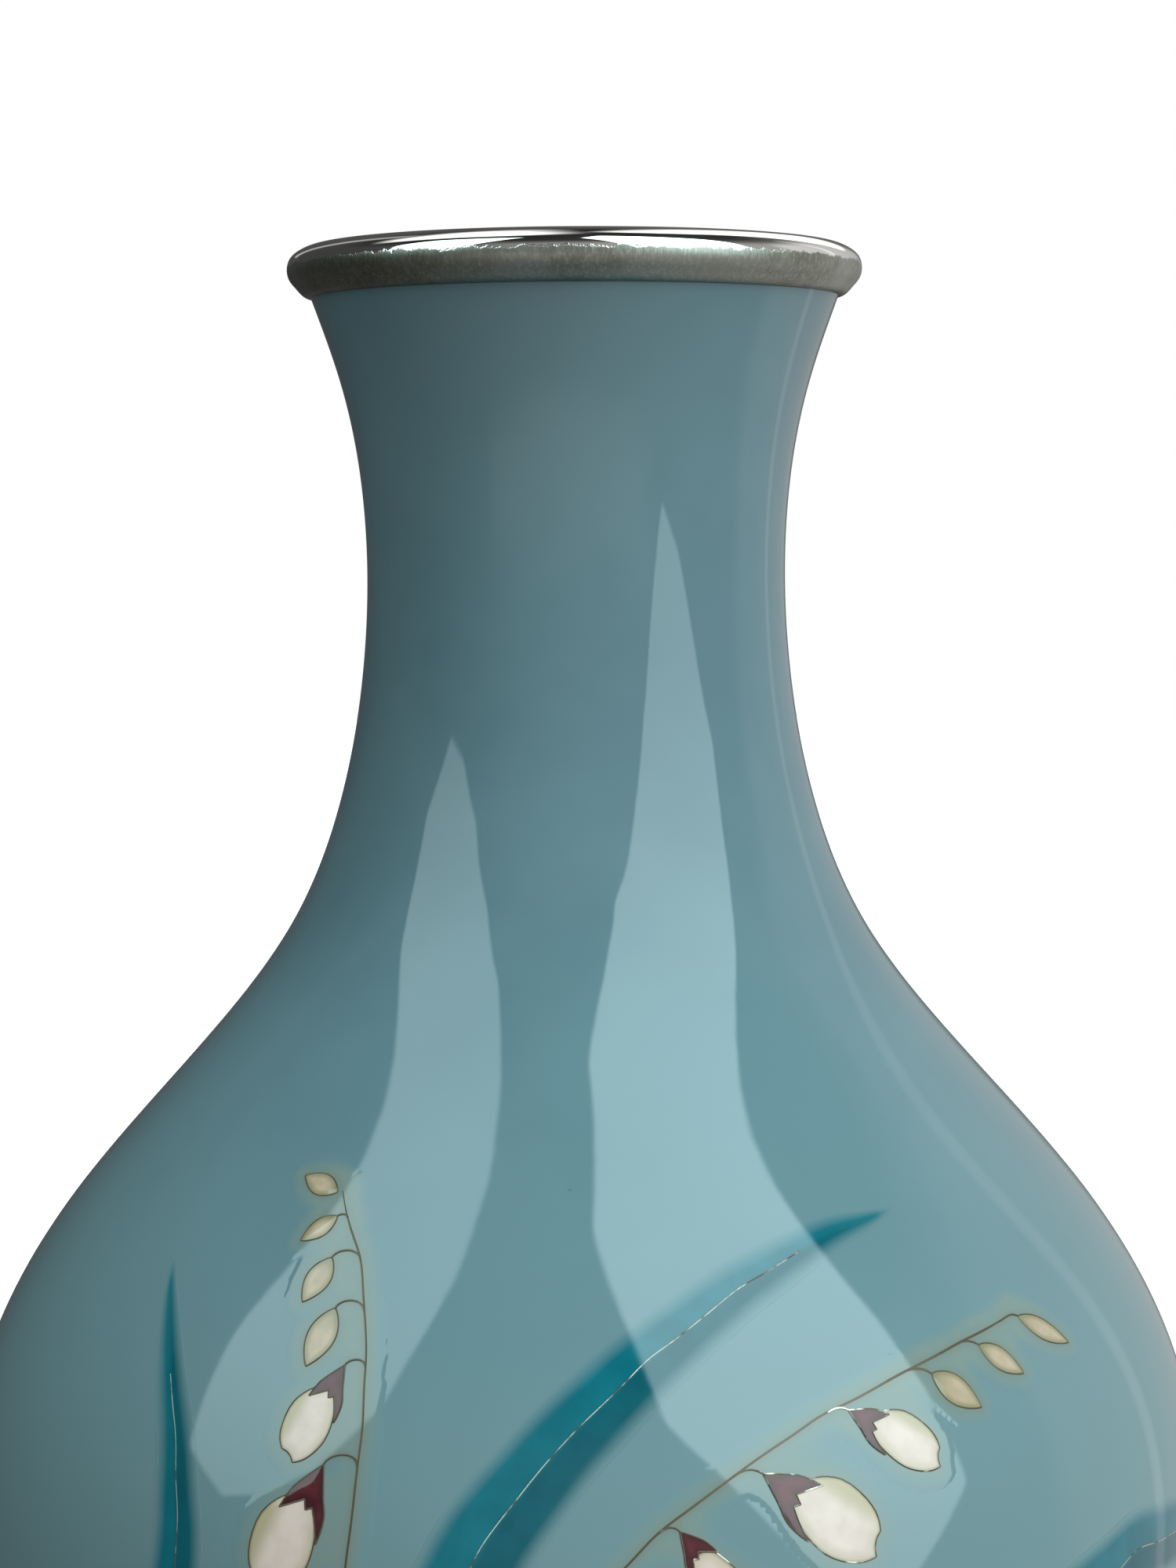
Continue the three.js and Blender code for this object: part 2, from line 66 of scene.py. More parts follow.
# Heights of the top faces above the ground, so that no two lie in the same place.
STAIN_RISE = 0.02
LEAF_RISE = 0.035
FILL_RISE = 0.04
WIRE_RISE = 0.085
BRACT_RISE = 0.09
BRACT_WIRE_RISE = 0.135
CELL_DEPTH = 0.35  # how far a cell goes down into the ground
MOSTLY = 0.7  # the cosine over which two directions are taken to agree


# ---- The frame's shapes ---------------------------------------------
def triangles(node):
    """The corners of a CAD node's triangles in mm, as an array of (count, 3, 3)."""
    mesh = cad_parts[node].data
    mesh.calc_loop_triangles()
    corners = np.array([t.vertices[:] for t in mesh.loop_triangles])
    points = np.empty(len(mesh.vertices) * 3)
    mesh.vertices.foreach_get("co", points)
    return points.reshape(-1, 3)[corners] / MM


def outside_line():
    """(radius, height) of the turned edges of the ground's outside, read at the back of the vase."""
    points = np.unique(np.round(triangles("ground_enamel").reshape(-1, 3), 3), axis=0)
    behind = points[(np.abs(points[:, 0]) < 0.01) & (points[:, 1] > 0)][:, 1:]
    outer = []
    for point in behind:
        others = behind[np.any(behind != point, axis=1)]
        partner = others[np.argmin(np.linalg.norm(others - point, axis=1))]
        if point[0] > partner[0]:
            outer.append(point)
    outer.sort(key=lambda point: point[1])
    return np.array(outer)


class Spline:
    """A natural cubic spline through (x, y) knots, with its slope."""

    def __init__(self, x, y):
        self.x = np.asarray(x, float)
        self.y = np.asarray(y, float)
        gap = np.diff(self.x)
        rise = np.diff(self.y, axis=0)
        system = np.eye(len(self.x))
        right = np.zeros_like(self.y)
        for i in range(1, len(self.x) - 1):
            system[i, i - 1:i + 2] = gap[i - 1], 2 * (gap[i - 1] + gap[i]), gap[i]
            right[i] = 6 * (rise[i] / gap[i] - rise[i - 1] / gap[i - 1])
        self.bend = np.linalg.solve(system, right)

    def _piece(self, x):
        i = np.clip(np.searchsorted(self.x, x) - 1, 0, len(self.x) - 2)
        width = self.x[i + 1] - self.x[i]
        b = (x - self.x[i]) / width
        if self.y.ndim > 1:
            width, b = width[..., None], b[..., None]
        return i, width, b

    def __call__(self, x):
        i, width, b = self._piece(np.asarray(x, float))
        a = 1 - b
        curve = (a**3 - a) * self.bend[i] + (b**3 - b) * self.bend[i + 1]
        return a * self.y[i] + b * self.y[i + 1] + curve * width**2 / 6

    def slope(self, x):
        i, width, b = self._piece(np.asarray(x, float))
        a = 1 - b
        curve = (1 - 3 * a**2) * self.bend[i] + (3 * b**2 - 1) * self.bend[i + 1]
        return (self.y[i + 1] - self.y[i]) / width + curve * width / 6


OUTSIDE_LINE = outside_line()
OUTSIDE = Spline(OUTSIDE_LINE[:, 1], OUTSIDE_LINE[:, 0])
GROUND_FOOT, GROUND_TOP = OUTSIDE_LINE[0, 1], OUTSIDE_LINE[-1, 1]


def sunk(height, depth):
    """(radius, height) of the outside sunk by a depth, at a height measured along the outside."""
    slope = OUTSIDE.slope(height)
    lean = 1 / np.hypot(1, slope)
    return OUTSIDE(height) - depth * lean, height + depth * slope * lean


def surface(angle, height, rise=0.0):
    """The points of space, in metres, at a rise above places of the vase."""
    radius, z = sunk(height, -np.asarray(rise))
    turn = np.radians(angle)
    return np.stack([radius * np.sin(turn), -radius * np.cos(turn), z * np.ones_like(radius)], -1) * MM


class Sheet:
    """The vase's surface laid flat round one place, so that shapes can be drawn there in mm."""

    def __init__(self, middle):
        self.middle = np.asarray(middle, float)
        self.radius = float(OUTSIDE(self.middle[1]))
        self.lean = float(1 / np.hypot(1, OUTSIDE.slope(self.middle[1])))

    def flat(self, places):
        steps = np.asarray(places, float) - self.middle
        return np.stack([np.radians(steps[..., 0]) * self.radius, steps[..., 1] / self.lean], -1)

    def places(self, flat):
        flat = np.asarray(flat, float)
        angle = self.middle[0] + np.degrees(flat[..., 0] / self.radius)
        return np.stack([angle, self.middle[1] + flat[..., 1] * self.lean], -1)


def normalised(vectors):
    """The same directions, one long."""
    return vectors / np.maximum(np.linalg.norm(vectors, axis=-1, keepdims=True), 1e-12)


def cell_outline(node, depth=0.0):
    """The closed outline of a CAD cell's top face (or its underside, given its depth) as places."""
    faces = triangles(node)
    middle = faces.mean(axis=1)
    normal = normalised(np.cross(faces[:, 1] - faces[:, 0], faces[:, 2] - faces[:, 0]))
    radius = np.hypot(middle[:, 0], middle[:, 1])
    out = np.stack([middle[:, 0], middle[:, 1], -OUTSIDE.slope(middle[:, 2]) * radius], -1)
    facing = np.sum(normal * normalised(out), axis=1)
    chosen = faces[facing < -MOSTLY] if depth else faces[facing > MOSTLY]
    points, index = np.unique(np.round(chosen.reshape(-1, 3), 2), axis=0, return_inverse=True)
    edges = {(a, b) for tri in index.reshape(-1, 3) for a, b in zip(tri, np.roll(tri, -1)) if a != b}
    following = {a: b for a, b in edges if (b, a) not in edges}
    loops = []
    while following:
        start = next(iter(following))
        loop = [start]
        while loop[-1] in following:
            loop.append(following.pop(loop[-1]))
        loops.append(loop[:-1])
    x, y, z = points[max(loops, key=len)].T
    turned_edges = OUTSIDE_LINE[:, 1]
    height = np.interp(z, sunk(turned_edges, depth)[1], turned_edges)
    return np.stack([np.degrees(np.arctan2(x, -y)), height], -1)


def run_along(line):
    """How far along a line each of its points is."""
    return np.concatenate([[0], np.cumsum(np.linalg.norm(np.diff(line, axis=0), axis=1))])


def spread(line, count, closed=False):
    """The same line as evenly spaced points."""
    line = np.concatenate([line, line[:1]]) if closed else np.asarray(line)
    run = run_along(line)
    at = np.linspace(0, run[-1], count, endpoint=not closed)
    return np.stack([np.interp(at, run, line[:, k]) for k in range(line.shape[1])], -1)


def smooth(knots, count):
    """Evenly spread points on a smooth curve through knots."""
    knots = np.asarray(knots, float)
    run = run_along(knots)
    fine = Spline(run, knots)(np.linspace(0, run[-1], count * 4))
    return spread(fine, count)


def farthest_pair(points):
    """The indices of the two points that are farthest apart."""
    apart = np.linalg.norm(points[:, None] - points[None], axis=-1)
    return np.unravel_index(np.argmax(apart), apart.shape)


def band(node, stations, depth=0.0):
    """(centre line as places from its top end, widths in mm) of a CAD cell that is a long band."""
    outline = cell_outline(node, depth)
    sheet = Sheet(outline.mean(axis=0))
    flat = sheet.flat(outline)
    i, j = sorted(farthest_pair(flat))
    one, other = flat[i:j + 1], np.concatenate([flat[j:], flat[:i + 1]])[::-1]
    one, other = spread(one, stations), spread(other, stations)
    line = sheet.places((one + other) / 2)
    widths = np.linalg.norm(one - other, axis=1)
    if line[0, 1] < line[-1, 1]:
        return line[::-1], widths[::-1]
    return line, widths


def nearest(points, line):
    """The distance from each flat point to a flat line of points."""
    start, end = line[:-1], line[1:]
    along = end - start
    share = np.sum((points[:, None] - start) * along, -1) / np.maximum(np.sum(along**2, -1), 1e-9)
    foot = start + np.clip(share, 0, 1)[..., None] * along
    return np.linalg.norm(points[:, None] - foot, axis=-1).min(axis=1)


# ---- Meshes ---------------------------------------------------------
def make_piece(name, points, faces, material, nodes, values=None):
    """A closed mesh piece on the vase, that stands for CAD nodes. values are named point numbers."""
    mesh = bpy.data.meshes.new(name)
    mesh.from_pydata([tuple(p) for p in points], [], [tuple(int(i) for i in face) for face in faces])
    for key, numbers in (values or {}).items():
        mesh.attributes.new(key, "FLOAT", "POINT").data.foreach_set("value", np.asarray(numbers, float))
    mesh.shade_smooth()
    mesh.set_sharp_from_angle(angle=math.radians(50))
    mesh.materials.append(material)
    piece = bpy.data.objects.new(name, mesh)
    bpy.context.scene.collection.objects.link(piece)
    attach(piece, "root")
    if nodes:
        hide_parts(*nodes)
    return piece


def turned(name, outline, material):
    """A solid of revolution from a closed (radius, height) outline in mm that runs anticlockwise."""
    points, rings = [], []
    turn = np.radians(np.arange(SEGMENTS) * 360 / SEGMENTS)
    for radius, height in outline:
        start = len(points)
        if radius == 0:
            points.append((0, 0, height * MM))
            rings.append([start] * SEGMENTS)
        else:
            x, y = radius * np.sin(turn), -radius * np.cos(turn)
            points.extend(np.stack([x, y, 0 * turn + height], -1) * MM)
            rings.append(list(range(start, start + SEGMENTS)))
    faces = []
    for low, high in zip(rings, rings[1:] + rings[:1]):
        for i in range(SEGMENTS):
            j = (i + 1) % SEGMENTS
            corners = list(dict.fromkeys([low[i], low[j], high[j], high[i]]))
            if len(corners) > 2:
                faces.append(corners)
    return make_piece(name, points, faces, material, [name])


def slab(places, faces, rise, depth=CELL_DEPTH):
    """Points and faces of a closed slab: the faces at a rise, the same faces at a depth, and walls."""
    places = np.asarray(places)
    count = len(places)
    points = np.concatenate([surface(*places.T, rise), surface(*places.T, -depth)])
    sides = [(a, b) for face in faces for a, b in zip(face, list(face[1:]) + [face[0]])]
    known = set(sides)
    closed = [tuple(face) for face in faces]
    closed += [tuple(i + count for i in reversed(face)) for face in faces]
    closed += [(b, a, a + count, b + count) for a, b in sides if (b, a) not in known]
    return points, closed


def both_sides(values):
    """Named point numbers of a slab's top, repeated for its underside."""
    return {key: np.tile(np.ravel(numbers), 2) for key, numbers in values.items()}


def grid_faces(columns, cells):
    """The faces at some (row, column) cells of a grid of points with so many columns."""
    return [
        (i * columns + j, i * columns + j + 1, (i + 1) * columns + j + 1, (i + 1) * columns + j)
        for i, j in cells
    ]


def inside(points, outline):
    """Whether each flat point is inside a closed flat outline."""
    x, y = points[:, 0, None], points[:, 1, None]
    a, b = outline, np.roll(outline, -1, axis=0)
    straddles = (a[:, 1] > y) != (b[:, 1] > y)
    rise = np.where(a[:, 1] == b[:, 1], 1e-12, b[:, 1] - a[:, 1])
    crossing = a[:, 0] + (y - a[:, 1]) / rise * (b[:, 0] - a[:, 0])
    return (np.sum(straddles & (x < crossing), axis=1) % 2) == 1


def filled(outline, spacing):
    """(flat points, faces) that fill a closed flat outline, anticlockwise, with even triangles."""
    low, high = outline.min(axis=0), outline.max(axis=0)
    columns = np.arange(low[0], high[0], spacing)
    rows = np.arange(low[1], high[1], spacing * math.sqrt(3) / 2)
    x, y = np.meshgrid(columns, rows)
    x[1::2] += spacing / 2
    grid = np.stack([x.ravel(), y.ravel()], -1)
    closed = np.concatenate([outline, outline[:1]])
    grid = grid[inside(grid, outline) & (nearest(grid, closed) > spacing * 0.6)]
    points = [Vector(p) for p in np.concatenate([outline, grid])]
    border = list(range(len(outline)))
    found, _, faces, *_ = delaunay_2d_cdt(points, [], [border], 1, 1e-5)
    return np.array([p[:] for p in found]), faces


def anticlockwise(outline):
    """The same closed flat outline, turned round if it runs clockwise."""
    x, y = outline.T
    area = np.sum(x * np.roll(y, -1) - np.roll(x, -1) * y)
    return outline if area > 0 else outline[::-1]


def grown(outline, amount):
    """A closed anticlockwise flat outline moved outwards, or inwards when negative."""
    along = normalised(np.roll(outline, -1, axis=0) - np.roll(outline, 1, axis=0))
    return outline + amount * np.stack([along[:, 1], -along[:, 0]], -1)


def joined(parts):
    """One list of points and faces from several."""
    points, faces, count = [], [], 0
    for some, more in parts:
        points.append(some)
        faces.extend(tuple(i + count for i in face) for face in more)
        count += len(some)
    return np.concatenate(points), faces


def strand(sheet, line, width, rise=WIRE_RISE, closed=False):
    """Points and faces of a wire with a softly rounded top along a flat line."""
    line = np.asarray(line)
    if closed:
        along = np.roll(line, -1, axis=0) - np.roll(line, 1, axis=0)
    else:
        along = np.gradient(line, axis=0)
    along = normalised(along)
    across = np.stack([-along[:, 1], along[:, 0]], -1)
    half = np.broadcast_to(width, len(line))[:, None] / 2
    shoulder = rise - 0.035
    section = [(-1, -CELL_DEPTH), (-1, shoulder), (0, rise), (1, shoulder), (1, -CELL_DEPTH)]
    rails = [surface(*sheet.places(line + side * half * across).T, level) for side, level in section]
    points = np.stack(rails, axis=1).reshape(-1, 3)
    n, k = len(line), len(section)
    faces = []
    for i in range(n if closed else n - 1):
        for s in range(k):
            a, b = i * k + s, i * k + (s + 1) % k
            c, d = (i + 1) % n * k + s, (i + 1) % n * k + (s + 1) % k
            faces.append((a, c, d, b))
    if not closed:
        faces.append(tuple(range(k)))
        faces.append(tuple(reversed(range((n - 1) * k, n * k))))
    return points, faces


# ---- Shader helpers -------------------------------------------------
class Tree:
    """A node tree that is built one node at a time. Inputs are sockets to link, or plain values."""

    def __init__(self, owner):
        owner.use_nodes = True
        self.tree = owner.node_tree
        self.tree.nodes.clear()

    def node(self, kind, inputs=(), **settings):
        made = self.tree.nodes.new(kind)
        for key, value in settings.items():
            setattr(made, key, value)
        for key, value in dict(inputs).items():
            if isinstance(value, bpy.types.NodeSocket):
                self.tree.links.new(value, made.inputs[key])
            else:
                made.inputs[key].default_value = value
        return made

    def math(self, operation, a, b=0.0, clamp=False):
        return self.node("ShaderNodeMath", {0: a, 1: b}, operation=operation, use_clamp=clamp).outputs[0]

    def ramp(self, value, low, high, to_low=0.0, to_high=1.0):
        """A soft step from to_low, where value is low, to to_high, where it is high."""
        inputs = {"Value": value, "From Min": low, "From Max": high, "To Min": to_low, "To Max": to_high}
        return self.node("ShaderNodeMapRange", inputs, interpolation_type="SMOOTHSTEP").outputs[0]

    def mix(self, share, a, b):
        """A blend from one colour to another, each a socket or plain (red, green, blue)."""
        a, b = ((*colour, 1) if isinstance(colour, tuple) else colour for colour in (a, b))
        return self.node("ShaderNodeMix", {0: share, 6: a, 7: b}, data_type="RGBA").outputs[2]

    def place(self):
        """The place in the vase's own space, in metres."""
        return self.node("ShaderNodeTexCoord").outputs["Object"]

    def height(self):
        return self.node("ShaderNodeSeparateXYZ", {0: self.place()}).outputs[2]

    def noise(self, scale, detail=3.0, roughness=0.5, stretch=None):
        """Soft noise in the vase's own space, with scale in features per metre."""
        where = self.place()
        if stretch:
            where = self.node("ShaderNodeMapping", {"Vector": where, "Scale": stretch}).outputs[0]
        inputs = {"Vector": where, "Scale": scale, "Detail": detail, "Roughness": roughness}
        return self.node("ShaderNodeTexNoise", inputs).outputs[0]

    def value(self, name):
        """One of the named point numbers of the piece."""
        return self.node("ShaderNodeAttribute", attribute_name=name).outputs["Fac"]

    def bump(self, height, distance, strength=1.0):
        inputs = {"Height": height, "Distance": distance, "Strength": strength}
        return self.node("ShaderNodeBump", inputs).outputs[0]

    def output(self, shader, kind="ShaderNodeOutputMaterial"):
        self.node(kind, {"Surface": shader})

    def principled(self, inputs):
        """End the tree with a principled shader."""
        self.output(self.node("ShaderNodeBsdfPrincipled", inputs).outputs[0])


def material(name):
    """A new material, and its node tree to build."""
    made = bpy.data.materials.new(name)
    return made, Tree(made)


# ---- Enamels --------------------------------------------------------
ENAMEL_ROUGHNESS = 0.035
LINING_ROUGHNESS = 0.16
ENAMEL_IOR = 1.52
GROUND_COLOUR = (0.132, 0.228, 0.260)
GROUND_DEEP = (0.113, 0.200, 0.234)
GROUND_GRADED_AND_LIT = (0.160, 0.264, 0.284)  # low on the belly: a graded ground, and painted light that brightens the lower belly
PLAIN_ABOVE, PALE_BELOW = 0.165, 0.100  # heights in metres
PIT_COLOUR = (0.050, 0.090, 0.100)
SAGE = (0.212, 0.268, 0.235)
OLIVE = (0.170, 0.158, 0.100)


def ground_colour(tree):
    """The ground's colour: paler low down, partly a graded ground and partly painted light on the lower
    belly, with faint clouds, and a dark pit here and there.
    """
    clouds = tree.ramp(tree.noise(22, 4, 0.6), 0.35, 0.65)
    colour = tree.mix(clouds, GROUND_DEEP, GROUND_COLOUR)
    # The paler belly is partly painted light: it brightens the lower belly where the lamps leave it dim.
    colour = tree.mix(tree.ramp(tree.height(), PLAIN_ABOVE, PALE_BELOW), colour, GROUND_GRADED_AND_LIT)
    spots = tree.node("ShaderNodeTexVoronoi", {"Vector": tree.place(), "Scale": 210.0})
    rare = tree.ramp(tree.noise(95, 1), 0.66, 0.70)
    pit = tree.math("MULTIPLY", tree.ramp(spots.outputs["Distance"], 0.085, 0.03), rare)
    return tree.mix(tree.math("MULTIPLY", pit, 0.6), colour, PIT_COLOUR)


def glassy(tree, colour, roughness=ENAMEL_ROUGHNESS):
    """Polished glass over a colour: not quite flat, as enamel is after stoning."""
    waves = tree.math("ADD", tree.noise(60, 2, 0.5), tree.math("MULTIPLY", tree.noise(420, 2), 0.06))
    inputs = {
        "Base Color": colour,
        "Roughness": roughness,
        "IOR": ENAMEL_IOR,
        "Normal": tree.bump(waves, 0.0001, 0.35),
    }
    tree.principled(inputs)


def ground_material():
    """The plain ground, where nothing stains it."""
    made, tree = material("ground_enamel")
    glassy(tree, ground_colour(tree))
    return made


def stain_material():
    """Ground enamel stained sage between stem and buds, and olive brown close to the wires."""
    made, tree = material("stained_ground")
    mottle = tree.ramp(tree.noise(700, 3), 0.3, 0.7, 0.75, 1.1)
    sage = tree.math("MULTIPLY", tree.value("sage"), mottle)
    olive = tree.math("MULTIPLY", tree.value("olive"), mottle)
    glassy(tree, tree.mix(olive, tree.mix(sage, ground_colour(tree), SAGE), OLIVE))
    return made


def leaf_material():
    """Transparent teal over the ground, deeper on one side of the rib, feathered at the edges."""
    made, tree = material("leaf_enamel")
    mottle = tree.ramp(tree.noise(260, 3), 0.25, 0.75)
    silver_and_glint = tree.mix(mottle, (0.002, 0.125, 0.163), (0.004, 0.155, 0.198))
    deep = tree.mix(mottle, (0.001, 0.086, 0.114), (0.002, 0.106, 0.138))
    teal = tree.mix(tree.value("shade"), silver_and_glint, deep)
    tip = tree.mix(tree.value("tip"), teal, (0.020, 0.160, 0.190))
    glassy(tree, tree.mix(tree.value("leaf"), ground_colour(tree), tip))
    return made


def petal_material():
    """Opal cream, olive yellow near the wires and along one side."""
    made, tree = material("petal_enamel")
    clouds = tree.ramp(tree.noise(330, 3), 0.3, 0.7)
    cream = tree.mix(clouds, (0.670, 0.520, 0.450), (0.765, 0.605, 0.535))
    rim = tree.ramp(tree.value("edge"), 1.5, 0.1)
    side = tree.ramp(tree.value("side"), 0.35, 0.95)
    shaded = tree.math("MAXIMUM", tree.math("MULTIPLY", rim, 0.45), tree.math("MULTIPLY", side, 0.85))
    colour = tree.mix(shaded, cream, (0.440, 0.370, 0.215))
    dark = tree.ramp(tree.value("edge"), 0.35, 0.02, 0.0, 0.45)
    glassy(tree, tree.mix(dark, colour, (0.200, 0.165, 0.090)))
    return made


def young_material():
    """Yellow-green cream of the small buds, darker at the edge and at the root."""
    made, tree = material("young_bud_enamel")
    clouds = tree.ramp(tree.noise(400, 2), 0.3, 0.7)
    cream = tree.mix(clouds, (0.450, 0.338, 0.225), (0.545, 0.412, 0.295))
    rim = tree.ramp(tree.value("edge"), 0.8, 0.0, 0.0, 0.8)
    colour = tree.mix(rim, cream, (0.240, 0.215, 0.110))
    root = tree.ramp(tree.value("along"), 0.45, 0.0, 0.0, 0.6)
    glassy(tree, tree.mix(root, colour, (0.220, 0.215, 0.120)))
    return made


def bract_material():
    """Maroon, darker at the edge."""
    made, tree = material("bract_enamel")
    clouds = tree.ramp(tree.noise(300, 3), 0.35, 0.65)
    maroon = tree.mix(clouds, (0.075, 0.010, 0.014), (0.130, 0.026, 0.032))
    dark = tree.ramp(tree.value("edge"), 0.9, 0.0, 0.0, 0.6)
    glassy(tree, tree.mix(dark, maroon, (0.035, 0.014, 0.016)))
    return made


def lining_material():
    """Counter enamel: mottled, pitted and less polished than the outside."""
    made, tree = material("counter_enamel")
    mottle = tree.ramp(tree.noise(140, 4, 0.65), 0.35, 0.65)
    colour = tree.mix(mottle, (0.150, 0.235, 0.245), (0.215, 0.310, 0.315))
    glassy(tree, colour, LINING_ROUGHNESS)
    return made


# ---- Metals ---------------------------------------------------------
def copper_material():
    """Bare copper, dark in patches from the kiln."""
    made, tree = material("copper")
    stain = tree.ramp(tree.noise(90, 5, 0.7), 0.35, 0.65)
    inputs = {
        "Base Color": tree.mix(stain, (0.42, 0.14, 0.07), (0.62, 0.27, 0.15)),
        "Metallic": 1.0,
        "Roughness": tree.ramp(tree.noise(500, 3), 0.3, 0.7, 0.32, 0.48),
    }
    tree.principled(inputs)
    return made


def wire_material(name, silver_and_glint_share):
    """Silver wire: brown for tarnish and painted shade, with bright silver patches for polish and
    painted glints.
    """
    made, tree = material(name)
    patches = tree.noise(380, 4, 0.6)
    # The bright patches are partly polished silver and partly painted glints; the brown is partly
    # tarnish and partly painted shade.
    silver_and_glint = tree.ramp(patches, 0.78 - 0.5 * silver_and_glint_share, 0.92 - 0.5 * silver_and_glint_share)
    inputs = {
        "Base Color": tree.mix(silver_and_glint, (0.110, 0.085, 0.050), (0.600, 0.580, 0.490)),
        "Metallic": tree.ramp(silver_and_glint, 0.0, 1.0, 0.35, 0.9),
        "Roughness": 0.34,
    }
    tree.principled(inputs)
    return made


POLISHED_ABOVE, WORN_BELOW = 0.2406, 0.2403  # heights in metres, before the edge is made ragged
RAGGED = 0.0016


def plate_material():
    """Silver plate: mirror bright on top, worn to satin grey with upright scratches on the side."""
    made, tree = material("silver_plate")
    ragged = tree.math("MULTIPLY", tree.noise(520, 4, 0.7), RAGGED)
    worn = tree.ramp(tree.math("ADD", tree.height(), ragged), POLISHED_ABOVE, WORN_BELOW)
    scratches = tree.noise(900, 4, 0.7, stretch=(1.0, 1.0, 0.12))
    tarnish = tree.ramp(tree.noise(120, 4, 0.6), 0.35, 0.7)
    satin = tree.mix(tarnish, (0.330, 0.335, 0.300), (0.200, 0.205, 0.155))
    specks = tree.ramp(tree.noise(2600, 4, 0.8, stretch=(1.0, 1.0, 0.45)), 0.45, 0.70)
    satin = tree.mix(tree.math("MULTIPLY", specks, 0.6), satin, (0.520, 0.525, 0.490))
    inputs = {
        "Base Color": tree.mix(worn, (0.870, 0.875, 0.860), satin),
        "Metallic": 1.0,
        "Roughness": tree.ramp(worn, 0.0, 1.0, 0.04, 0.42),
        "Normal": tree.bump(tree.math("MULTIPLY", scratches, worn), 0.00012, 0.6),
    }
    tree.principled(inputs)
    return made


GROUND = ground_material()
STAIN = stain_material()
LEAF = leaf_material()
PETAL = petal_material()
YOUNG = young_material()
BRACT = bract_material()
LINING = lining_material()
COPPER = copper_material()
# Each share is how much of the wire is painted bright silver: partly polish, partly painted glint.
DARK_WIRE = wire_material("dark_wire", 0.2)
BRIGHT_WIRE = wire_material("bright_wire", 0.54)
RIB_WIRE = wire_material("rib_wire", 0.76)
PLATE = plate_material()


# ---- The body -------------------------------------------------------
COLLAR_FLARE = 1.3  # how far the upper shell's mouth turns outwards
FOOT_WALL_RADIUS = 39.4  # the outside of the lower shell's straight foot
FOOT_WALL_RISE = 0.4  # its height above the ground enamel's lower edge
# Heights above that edge where each buried face begins to follow the vase's outside.
COPPER_OUTER_START, COPPER_INNER_START = 3, 5
LINING_OUTER_START, LINING_INNER_START = 9, 12
LINING_DROP = 1.1  # from the ground's top edge to the lining's
RIM_CLEARANCE = 0.02  # between the ground's top edge and the bead
# (radius, drop below the top): the bead, up its outside, over its top and down into the mouth.
BEAD = [
    (32.6, 4.9), (33.4, 3.9), (33.65, 2.6), (33.3, 1.5), (32.3, 0.65), (30.9, 0.1), (29.5, 0),
    (27.9, 0.4), (26.8, 1.3), (26.4, 2.4),
]


def wall(low, high, depth, steps):
    """(radius, height) points at a depth under the outside, from a low height to a high one."""
    return np.stack(sunk(np.linspace(low, high, steps), depth), -1)


def shell(low, high, outer, inner, steps):
    """The closed outline of a wall between two depths, up the outside and down the inside."""
    return np.concatenate([wall(low, high, outer, steps), wall(low, high, inner, steps // 3)[::-1]])


def rounded(points, radius, steps=4):
    """A closed outline with each corner rounded off by up to a radius."""
    points = np.asarray(points, float)
    soft = []
    for before, corner, after in zip(np.roll(points, 1, axis=0), points, np.roll(points, -1, axis=0)):
        arms = [end - corner for end in (before, after)]
        starts = [corner + arm * min(radius / np.linalg.norm(arm), 0.45) for arm in arms]
        for t in np.linspace(0, 1, steps):
            soft.append((1 - t)**2 * starts[0] + 2 * t * (1 - t) * corner + t**2 * starts[1])
    return soft


def make_ground():
    """The outer enamel, from the foot to the bead."""
    outline = shell(GROUND_FOOT, GROUND_TOP, 0, GROUND_THICKNESS, 190)
    turned("ground_enamel", outline, GROUND)


def make_copper():
    """The copper body, in two shells that meet at the seam."""
    seam = (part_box("copper_upper_shell")[0][2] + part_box("copper_lower_shell")[1][2]) / 2 / MM
    inner = COPPER_DEPTH + COPPER_THICKNESS
    collar_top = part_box("copper_upper_shell")[1][2] / MM
    outer_wall = wall(seam + GAP / 2, GROUND_TOP, COPPER_DEPTH, 90)
    inner_wall = wall(seam + GAP / 2, GROUND_TOP, inner, 60)[::-1]
    collar = [(end[0] + COLLAR_FLARE, collar_top) for end in (outer_wall[-1], inner_wall[0])]
    outline = np.concatenate([outer_wall, collar, inner_wall])
    turned("copper_upper_shell", outline, COPPER)

    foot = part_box("copper_lower_shell")[0][2] / MM
    wall_top = GROUND_FOOT + FOOT_WALL_RISE
    inside_radius = FOOT_WALL_RADIUS - COPPER_THICKNESS
    outline = [
        (FOOT_WALL_RADIUS, foot), (FOOT_WALL_RADIUS, wall_top),
        *wall(GROUND_FOOT + COPPER_OUTER_START, seam - GAP / 2, COPPER_DEPTH, 60),
        *wall(GROUND_FOOT + COPPER_INNER_START, seam - GAP / 2, inner, 40)[::-1],
        (inside_radius, wall_top), (inside_radius, foot),
    ]
    turned("copper_lower_shell", outline, COPPER)


def make_disc(node, finish, edge):
    """A flat turned disc that fills its CAD node's box."""
    low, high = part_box(node)
    radius, bottom, top = high[0] / MM, low[2] / MM, high[2] / MM
    rim = [(radius - edge, bottom), (radius, bottom + edge), (radius, top - edge), (radius - edge, top)]
    turned(node, [(0, bottom), *rim, (0, top)], finish)


